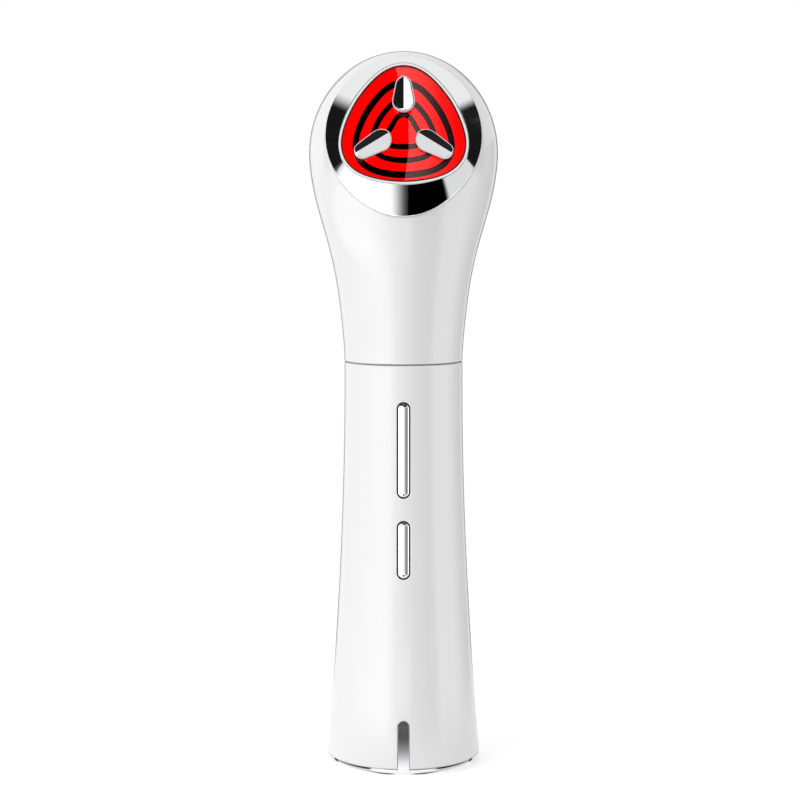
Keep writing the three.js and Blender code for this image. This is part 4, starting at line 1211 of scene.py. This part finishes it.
# The contacts, as a node tree: a small block repeated along X, in one row on each face of the tongue
contacts = bpy.data.node_groups.new("contact_rows", "GeometryNodeTree")
contacts.interface.new_socket("Geometry", in_out="OUTPUT", socket_type="NodeSocketGeometry")
contact_sizes = {
    "Pitch": contact_pitch * MM,
    "Width": contact_width * MM,
    "Thickness": contact_thickness * MM,
    "Length": contact_length * MM,
    "Row Half Gap": (port_tongue[1] / 2 + contact_thickness / 2) * MM,
}
contact_sockets = size_inputs(contacts, contact_sizes)
count_socket = contacts.interface.new_socket("Count", in_out="INPUT", socket_type="NodeSocketInt")
given = add_node(contacts, "NodeGroupInput").outputs
block_size = {"X": given["Width"], "Y": given["Thickness"], "Z": given["Length"]}
block_size = add_node(contacts, "ShaderNodeCombineXYZ", block_size)
block = add_node(contacts, "GeometryNodeMeshCube", {"Size": block_size.outputs[0]})
left = given["Count"]
for operation, by in [("SUBTRACT", 1.0), ("MULTIPLY", given["Pitch"]), ("MULTIPLY", -0.5)]:
    left = add_node(contacts, "ShaderNodeMath", {0: left, 1: by}, operation=operation).outputs[0]
rows = []
for side in (-1.0, 1.0):
    depth = add_node(contacts, "ShaderNodeMath", {0: given["Row Half Gap"], 1: side}, operation="MULTIPLY")
    start = add_node(contacts, "ShaderNodeCombineXYZ", {"X": left, "Y": depth.outputs[0]})
    step = add_node(contacts, "ShaderNodeCombineXYZ", {"X": given["Pitch"]})
    line = {"Count": given["Count"], "Start Location": start.outputs[0], "Offset": step.outputs[0]}
    line = add_node(contacts, "GeometryNodeMeshLine", line)
    blocks = {"Points": line.outputs[0], "Instance": block.outputs[0]}
    rows.append(add_node(contacts, "GeometryNodeInstanceOnPoints", blocks))
joined = add_node(contacts, "GeometryNodeJoinGeometry")
for row in rows:
    contacts.links.new(row.outputs[0], joined.inputs[0])
whole = add_node(contacts, "GeometryNodeRealizeInstances", {"Geometry": joined.outputs[0]})
gilded = add_node(contacts, "GeometryNodeSetMaterial", {"Geometry": whole.outputs[0], "Material": gold_plate})
add_node(contacts, "NodeGroupOutput", {"Geometry": gilded.outputs[0]})
contact_rows = new_object("socket_contacts", bpy.data.meshes.new("socket_contacts"))
repeated = contact_rows.modifiers.new("rows", "NODES")
repeated.node_group = contacts
for socket, size in zip(contact_sockets, contact_sizes.values()):
    repeated[socket.identifier] = size
repeated[count_socket.identifier] = contact_count
settle(contact_rows)
contact_middle = (tongue_low + contact_from_tip + contact_length / 2) * MM
contact_rows.data.transform(Matrix.Translation(Vector(port_centre) * MM + Vector((0, 0, contact_middle))))
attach(contact_rows, body)


# Foot
# A white plug closes the grip's lower end, held by two long screws. The chromed foot snaps on to it
# with two posts, and its tongue runs up the slot at the front.

dress(frame_abs, ["base_plug"])
dress(nickel_steel, ["base_screw_left", "base_screw_right"])

cap_inset = 1.5
cap_thickness = 1.2
cap_edge_round = 0.5
cap_top_round = 0.15
cap_hold = 0.04
tongue_recess = 0.9
tongue_depth = 0.9
tongue_side_gap = 0.06
tongue_edge_round = 0.1
post_radius = 1.2
post_top = 4.8
post_place = (5.5, 7.5)
cap_radius = foot_radius - cap_inset
cap_profile = arc((cap_radius - cap_edge_round, cap_edge_round), cap_edge_round, -90, 0, 9)
cap_top_corner = cap_thickness - cap_top_round
cap_profile += [(cap_radius, cap_edge_round + cap_hold), (cap_radius, cap_top_corner - cap_hold)]
cap_profile += arc((cap_radius - cap_top_round, cap_top_corner), cap_top_round, 0, 90, 4)
foot_cap = stacked_piece("foot_cap", [round_ring(r, z, grip_sides) for r, z in cap_profile], closed=False)
mouth_flare = [(1.2, -1.0), (0.22, -0.02), (0.08, 0.08), (0, 0.25), (0, 3.0)]
mouth_rings = [port_ring(port_mouth_margin + out, level) for out, level in mouth_flare]
mouth = stacked_piece("socket_mouth", mouth_rings, closed=False)
cut_out(foot_cap, [mouth])
flatten_ends(foot_cap)

tongue_half = foot_slot_width / 2 - tongue_side_gap
tongue_top = foot_slot_top - tongue_side_gap
tongue_bottom = cap_edge_round + 0.1


def tongue_outline(inset, steps=20, side_steps=24):
    """Outline of the foot's tongue from the front: a round top, straight sides and a straight foot."""
    radius = tongue_half - inset
    angles = np.linspace(0, math.pi, steps + 1)
    top = [(radius * math.cos(a), tongue_top - tongue_half + radius * math.sin(a)) for a in angles]
    heights = np.linspace(tongue_top - tongue_half, tongue_bottom, side_steps + 1)[1:]
    left = [(-radius, z) for z in heights]
    return np.array(top + left + [(-x, z) for x, z in left[::-1]])


def tongue_ring(inset, back):
    """The outline laid on the grip's own curve, a recess and a distance behind its surface."""
    outline = tongue_outline(inset)
    radius = grip_radius(outline[:, 1]) - tongue_recess - back
    return stood_up(outline, np.sqrt(radius**2 - outline[:, 0] ** 2))


tongue_rings = [tongue_ring(0, tongue_depth), tongue_ring(0, tongue_edge_round)]
for angle in np.linspace(0, math.pi / 2, 5)[1:]:
    inset = tongue_edge_round * (1 - math.cos(angle))
    tongue_rings.append(tongue_ring(inset, tongue_edge_round * (1 - math.sin(angle))))
tongue_rings.append(tongue_ring(tongue_edge_round + 0.03, 0))
count = len(tongue_rings[0])
faces = quads(len(tongue_rings), count, False)
faces += across_cap(0, count) + across_cap((len(tongue_rings) - 1) * count, count)
tongue = mesh_piece("foot_tongue", np.concatenate(tongue_rings), faces)
posts = []
for side in (-1, 1):
    at = np.array([side * post_place[0], post_place[1], 0])
    levels = [(post_radius, cap_thickness / 2), (post_radius, post_top - 0.3), (post_radius - 0.3, post_top)]
    post_rings = [round_ring(radius, level, 32) + at for radius, level in levels]
    posts.append(stacked_piece("foot_post", post_rings, closed=False))
join_to(foot_cap, [tongue] + posts)
foot_cap.data.materials.clear()
foot_cap.data.materials.append(bright_chrome)
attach(foot_cap, body)
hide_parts("base_cap")

# A black silicone ring, open where the tongue passes, keeps water out of the joint over the foot. At the
# sides its lip comes down over the cap's edge. The ring and its lip are painted shade and reflection: they
# draw the dark gap over the foot and the dark streaks that its chrome edge shows at the sides
foot_seal_inner = 14.3
foot_seal_outer = 15.03
foot_seal_low = 1.22
foot_seal_high = 1.46
foot_seal_corners = [
    (foot_seal_inner, foot_seal_low, 0, 0),
    (foot_seal_outer, foot_seal_low, 0.21, -0.32),
    (foot_seal_outer, foot_seal_high, 0.23, 0),
    (foot_seal_inner, foot_seal_high, 0, 0),
]
seal_turns = np.radians(np.linspace(9, 351, 172))
off_front = 180 - np.abs(np.degrees(seal_turns) - 180)
# How far the lip reaches, by the angle from the front: this places the painted dark streaks on the foot's
# edge
lip = np.interp(off_front, [0, 18, 26, 34, 62, 82], [0, 0, 0.75, 1, 1, 0.8])
seal_rings = []
for radius, level, out, down in foot_seal_corners:
    radius = radius + out * lip
    seal_rings.append(
        np.column_stack([radius * np.sin(seal_turns), -radius * np.cos(seal_turns), level + down * lip])
    )
count = len(seal_turns)
seal_faces = []
for i in range(count - 1):
    for side in range(4):
        after = (side + 1) % 4
        seal_faces.append((side * count + i, side * count + i + 1, after * count + i + 1, after * count + i))
seal_faces.append(tuple(side * count for side in range(4)))
seal_faces.append(tuple(side * count + count - 1 for side in (3, 2, 1, 0)))
foot_shade_seal = mesh_piece("foot_shade_seal", np.concatenate(seal_rings), seal_faces)
foot_shade_seal.data.materials.append(shade_black_silicone)
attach(foot_shade_seal, body)


# Floor
# A pale round table top under the wand. It keeps the wand's faint shadow, and thins out to nothing
# towards its edge, where the white behind shows.

floor_radius = 170.0
floor_lift = 0.4
floor_depth = 0.5
floor_section = [(radius, 0) for radius in np.linspace(floor_radius, 2, 24)]
floor_section += [(2, -floor_depth), (floor_radius, -floor_depth)]
floor = revolved_piece("floor", floor_section, 96)


def seen_rays(tree):
    """Socket that is 1 for rays that the camera, a mirror or a lens sends, and 0 for light on its way."""
    path = add_node(tree, "ShaderNodeLightPath").outputs
    seen = path["Is Camera Ray"]
    for ray in ("Is Glossy Ray", "Is Transmission Ray"):
        seen = add_node(tree, "ShaderNodeMath", {0: seen, 1: path[ray]}, operation="MAXIMUM").outputs[0]
    return seen


floor_paint, tree = new_material("pale_matt_paint")
place = add_node(tree, "ShaderNodeTexCoord").outputs["Object"]
away = add_node(tree, "ShaderNodeVectorMath", {0: place}, operation="LENGTH")
fading = {"From Min": 18 * MM, "From Max": floor_radius * 0.9 * MM, "To Min": 0.9, "To Max": 0.0}
fading["Value"] = away.outputs["Value"]
cover = add_node(tree, "ShaderNodeMapRange", fading, interpolation_type="SMOOTHSTEP")
grain = add_node(tree, "ShaderNodeTexNoise", {"Vector": place, "Scale": 1 / (1.5 * MM), "Detail": 3.0})
dull = add_node(tree, "ShaderNodeMapRange", {"Value": grain.outputs["Fac"], "To Min": 0.7, "To Max": 0.8})
paint = {"Base Color": colour("#FCFCFC"), "Roughness": dull.outputs["Result"], "Specular IOR Level": 0.0}
paint = add_node(tree, "ShaderNodeBsdfPrincipled", paint)
lift = add_node(tree, "ShaderNodeMath", {0: seen_rays(tree), 1: floor_lift}, operation="MULTIPLY")
white = add_node(tree, "ShaderNodeEmission", {"Strength": lift.outputs[0]})
paint = add_node(tree, "ShaderNodeAddShader", {0: paint.outputs[0], 1: white.outputs[0]})
nothing = add_node(tree, "ShaderNodeBsdfTransparent")
faded = {0: cover.outputs["Result"], 1: nothing.outputs[0], 2: paint.outputs[0]}
faded = add_node(tree, "ShaderNodeMixShader", faded)
add_node(tree, "ShaderNodeOutputMaterial", {"Surface": faded.outputs[0]})
floor.data.materials.append(floor_paint)


# Studio cards
# What the gloss reflects: soft boxes, black flags and grey paper round the wand, on the floor and beside
# the bars. The large ones are shells of a ball. Only reflections show them, and they shade nothing.

card_step = 0.5
card_light, tree = new_material("studio_card")
glow = add_node(tree, "ShaderNodeAttribute", attribute_name="glow")
cover = add_node(tree, "ShaderNodeAttribute", attribute_name="cover")
lamp = add_node(tree, "ShaderNodeEmission", {"Strength": glow.outputs["Fac"]})
nothing = add_node(tree, "ShaderNodeBsdfTransparent")
faded = {0: cover.outputs["Fac"], 1: nothing.outputs[0], 2: lamp.outputs[0]}
faded = add_node(tree, "ShaderNodeMixShader", faded)
add_node(tree, "ShaderNodeOutputMaterial", {"Surface": faded.outputs[0]})
card_light.cycles.emission_sampling = "NONE"


def soft_step(distance, width):
    share = np.clip(distance / max(width, 1e-6), 0, 1)
    return share * share * (3 - 2 * share)


def grid_faces(rows, columns):
    """Faces between points that lie in rows."""
    corners = [r * columns + c for r in range(rows - 1) for c in range(columns - 1)]
    return [(i, i + 1, i + 1 + columns, i + columns) for i in corners]


def studio_card(name, ball, turns, lifts, glow, soft=(0, 0, 0, 0), left_edge=None, right_edge=None):
    """Card on a ball given as its centre and radius, from one turn and lift to another in degrees. The glow
    is one value or (turn, value) pairs; soft tells how far its left, right, lower and upper edge fade; and
    an edge may follow (lift, turn) pairs."""
    rows = max(2, int((lifts[1] - lifts[0]) / card_step) + 1)
    columns = max(2, int((turns[1] - turns[0]) / card_step) + 1)
    lift, share = np.meshgrid(np.linspace(*lifts, rows), np.linspace(0, 1, columns), indexing="ij")
    left = np.interp(lift, *np.array(left_edge or [(0, turns[0])], float).T)
    right = np.interp(lift, *np.array(right_edge or [(0, turns[1])], float).T)
    turn = left + (right - left) * share
    along, up = np.radians(turn), np.radians(lift)
    points = np.stack([np.sin(along) * np.cos(up), -np.cos(along) * np.cos(up), np.sin(up)], axis=-1)
    points = (points.reshape(-1, 3) * ball[1] + np.array(ball[0])) * MM
    strength = np.interp(turn, *np.array(glow if isinstance(glow, list) else [(0, glow)], float).T)
    shown = np.ones_like(turn)
    edges = (turn - left, right - turn, lift - lifts[0], lifts[1] - lift)
    for distance, width in zip(edges, soft):
        if width:
            shown = shown * soft_step(distance, width)
    stage_card(name, points, grid_faces(rows, columns), strength, shown)


def stage_card(name, points, faces, strength, shown):
    """Sheet of points in metres that only reflections see."""
    mesh = bpy.data.meshes.new(name)
    mesh.from_pydata(points.tolist(), [], faces)
    mesh.materials.append(card_light)
    for attribute, values in (("glow", strength), ("cover", shown)):
        mesh.attributes.new(attribute, "FLOAT", "POINT").data.foreach_set("value", values.ravel())
    card = new_object(name, mesh)
    card.visible_camera = False
    card.visible_diffuse = False
    card.visible_volume_scatter = False
    card.visible_shadow = False


# Round the face: black flags at both sides and below, a soft box low on the left, grey paper under it
face_middle = (0, -11, 134)
near = (face_middle, 90)
studio_card("left_flag", near, (-112, -71), (-19, 50), 0.01, (4, 2, 12, 9))
flag_edge = [(-18, 76.5), (34, 76.3), (36.5, 75), (47, 74)]
studio_card("right_flag", near, (76.5, 114), (-18, 47), 0.01, (1, 4, 10, 6), left_edge=flag_edge)
studio_card("bar_glint", near, (66, 76.2), (26, 35), 1.2, (3, 0, 2, 1.5))
flag_edge = [(-24, 30), (-20, 32.5), (-12, 38.5), (-4, 46)]
studio_card("front_flag", near, (2.5, 34), (-23, -3), 0.0, (0.5, 6, 1.5, 3), right_edge=flag_edge)
studio_card("front_shade", (face_middle, 91), (-11, 5), (-25, -3), 0.05, (13.5, 0, 1, 3))
studio_card("front_soft_box", (face_middle, 92), (-72, 6), (-26, -3), 1.35, (10, 0, 3, 3))
studio_card("low_grey", (face_middle, 94), (-82, 84), (-27, -2), 0.85, (4, 4, 3, 3))

# Beside the two lower bars, edge-on to the lens: a small black card above each and a pale card below
bar_cards = [("bar_flag", 1, 0.3, 3.8, 0.02), ("bar_paper", -1, 0.1, 6.2, 0.89)]
for side, angle, length, lean in bars_wanted[1:]:
    above = -1 if side == "left" else 1
    sight = on_bar(np.array([2.0 + 0j]), lens_rise, angle, lean)[0] - np.array(camera_place) / MM
    sight /= np.linalg.norm(sight)
    mirrored = sight - 2 * sight.dot(face_out) * face_out
    ends = np.array([-bar_inner_radius - 1.6, length - bar_inner_radius + 0.8])
    for name, away, low, high, shade in bar_cards:
        foot = on_bar(ends + 1j * above * away * (bar_inner_radius + 0.8), lens_rise, angle, lean)
        sheet = np.concatenate([foot + mirrored * low, (foot + mirrored * high)[::-1]])
        stage_card(f"{name}_{side}", sheet * MM, [(0, 1, 2, 3)], np.full(4, shade), np.ones(4))

# Above the lens: black, with one long pale glare whose left edge is a shallow curve
studio_card("lens_flag", near, (-15, 17), (24, 52), 0.0, (1, 1, 1, 1))
glare_edge = [(26, -0.3), (28.8, 0.2), (34.2, 1.1), (40.5, 1.1), (46.7, -1.6), (50, -3.2)]
glare = [(-3, 1.8), (1, 1.6), (4.5, 1.05), (8, 0.3), (11, 0.06), (15, 0.02)]
studio_card("lens_glare", (face_middle, 88), (0, 15), (26, 50), glare, left_edge=glare_edge)

# Far away, for the shell and the keys: one surround that is brightest in front on the left, darkest in
# front on the right, with a pale strip at the far right, a brighter one low on the left, and dark paper
# above and straight behind the wand
far_middle = (0, 0, 70)
surround = [(-150, 0.9), (-140, 1.2), (-128, 1.1), (-100, 1.5), (-70, 2.6), (-40, 3.9), (-25, 3.75)]
surround += [(-14, 2.1), (-6, 1.75), (3, 1.05), (10, 0.8), (14, 0.65), (22, 0.3), (46, 0.25), (54, 0.9)]
surround += [(63, 2.3), (92, 2.2), (106, 1.3), (118, 0.6), (135, 0.4), (150, 0.6)]
studio_card("shell_surround", (far_middle, 600), (-150, 150), (-60, 14), surround, (6, 6, 3, 4))
low_light = [(-130, 1.3), (-110, 2.3), (-90, 3.3), (-70, 4.2), (-53, 4.7), (-37, 4.2), (-20, 2.9)]
low_light += [(-8, 2.3), (2, 1.9), (12, 1.1), (22, 0.5)]
studio_card("low_surround", (far_middle, 590), (-130, 22), (-60, -12.5), low_light, (12, 12, 3, 3))
studio_card("back_paper", (far_middle, 620), (156, 204), (-45, 31), 0.03, (3, 3, 5, 4))
studio_card("high_flag", (far_middle, 610), (-70, 70), (13, 80), 0.03, (8, 8, 15, 4))

# On the floor in front: a sheet that darkens outwards, as wide as the foot's tongue sees, and white
# farther out for the shell above the tongue
sheet_tones = [(12, 1.2), (25, 1.0), (34, 0.8), (42, 0.63), (50, 0.48), (60, 0.34), (70, 0.24), (80, 0.14)]
sheet_tones += [(94, 0.085), (142, 0.085), (150, 1.6), (165, 2.3), (300, 2.2), (320, 1.8)]
sheet_points, sheet_glow = [], []
for out, tone in sheet_tones:
    half = 1.7 + 0.19 * out
    sheet_points += [(-half, -15 - out, 0.6), (half, -15 - out, 0.6)]
    sheet_glow += [tone, tone]
sheet_faces = [(2 * i, 2 * i + 1, 2 * i + 3, 2 * i + 2) for i in range(len(sheet_tones) - 1)]
sheet_glow = np.array(sheet_glow)
stage_card("floor_sheet", np.array(sheet_points) * MM, sheet_faces, sheet_glow, np.ones_like(sheet_glow))

# On the floor round the foot: black paper that its edge mirrors as two dark streaks at each side
ring_out = np.linspace(cap_radius - 0.25, cap_radius + 3, 34)
ring_turn = np.linspace(-100, 100, 101)
out, turn = np.meshgrid(ring_out - cap_radius, ring_turn, indexing="ij")
lean = np.abs(turn)
upper_streak = soft_step(lean - 26, 10) * soft_step(out - 1.4, 0.5)
streak_place = np.interp(lean, [12, 18, 27, 36, 48], [0.1, 0.2, 0.6, 1.0, 1.3])
streak_depth = np.interp(lean, [6, 11, 18, 25, 32, 48, 60], [0, 0.9, 0.97, 0.75, 0.4, 0.3, 0.3])
lower_streak = streak_depth * soft_step(0.62 - np.abs(out - streak_place), 0.4)
side_dark = soft_step(lean - 68, 10)
shown = np.maximum(np.maximum(upper_streak, lower_streak), side_dark) * soft_step(102 - lean, 6)
along = np.radians(turn)
radius = cap_radius + out
level = np.interp(out, [0.5, 1.2], [0.04, 0.3])
points = np.stack([radius * np.sin(along), -radius * np.cos(along), level], axis=-1).reshape(-1, 3)
faces = grid_faces(len(ring_out), len(ring_turn))
stage_card("foot_flag", points * MM, faces, np.full(shown.shape, 0.01), shown)


# Light
# A plain bright world with one large soft lamp to the left of the camera and a weaker one to the
# right, so the left side of the wand is the lighter one.

world = bpy.data.worlds.new("studio")
bpy.context.scene.world = world
world.use_nodes = True
tree = world.node_tree
tree.nodes.clear()
plain = add_node(tree, "ShaderNodeBackground", {"Color": colour("#FFFFFF"), "Strength": 0.62})
white = add_node(tree, "ShaderNodeBackground", {"Color": colour("#FFFFFF"), "Strength": 1.0})
shown = add_node(tree, "ShaderNodeMixShader", {0: seen_rays(tree), 1: plain.outputs[0], 2: white.outputs[0]})
add_node(tree, "ShaderNodeOutputWorld", {"Surface": shown.outputs[0]})


def soft_lamp(name, turn, lift, distance, size, watts):
    """Large square lamp aimed at the middle of the wand."""
    data = bpy.data.lights.new(name, "AREA")
    data.size = size * MM
    data.energy = watts
    lamp = new_object(name, data)
    along, up = math.radians(turn), math.radians(lift)
    away = Vector((math.sin(along) * math.cos(up), -math.cos(along) * math.cos(up), math.sin(up)))
    middle = Vector((0, 0, 75)) * MM
    lamp.location = middle + away * distance * MM
    lamp.rotation_euler = away.to_track_quat("Z", "Y").to_euler()
    lamp.visible_glossy = False


soft_lamp("left_lamp", -62, 22, 900, 700, 3.4)
soft_lamp("right_lamp", 50, 20, 900, 700, 0.9)

view = bpy.context.scene.view_settings
view.view_transform = "Standard"
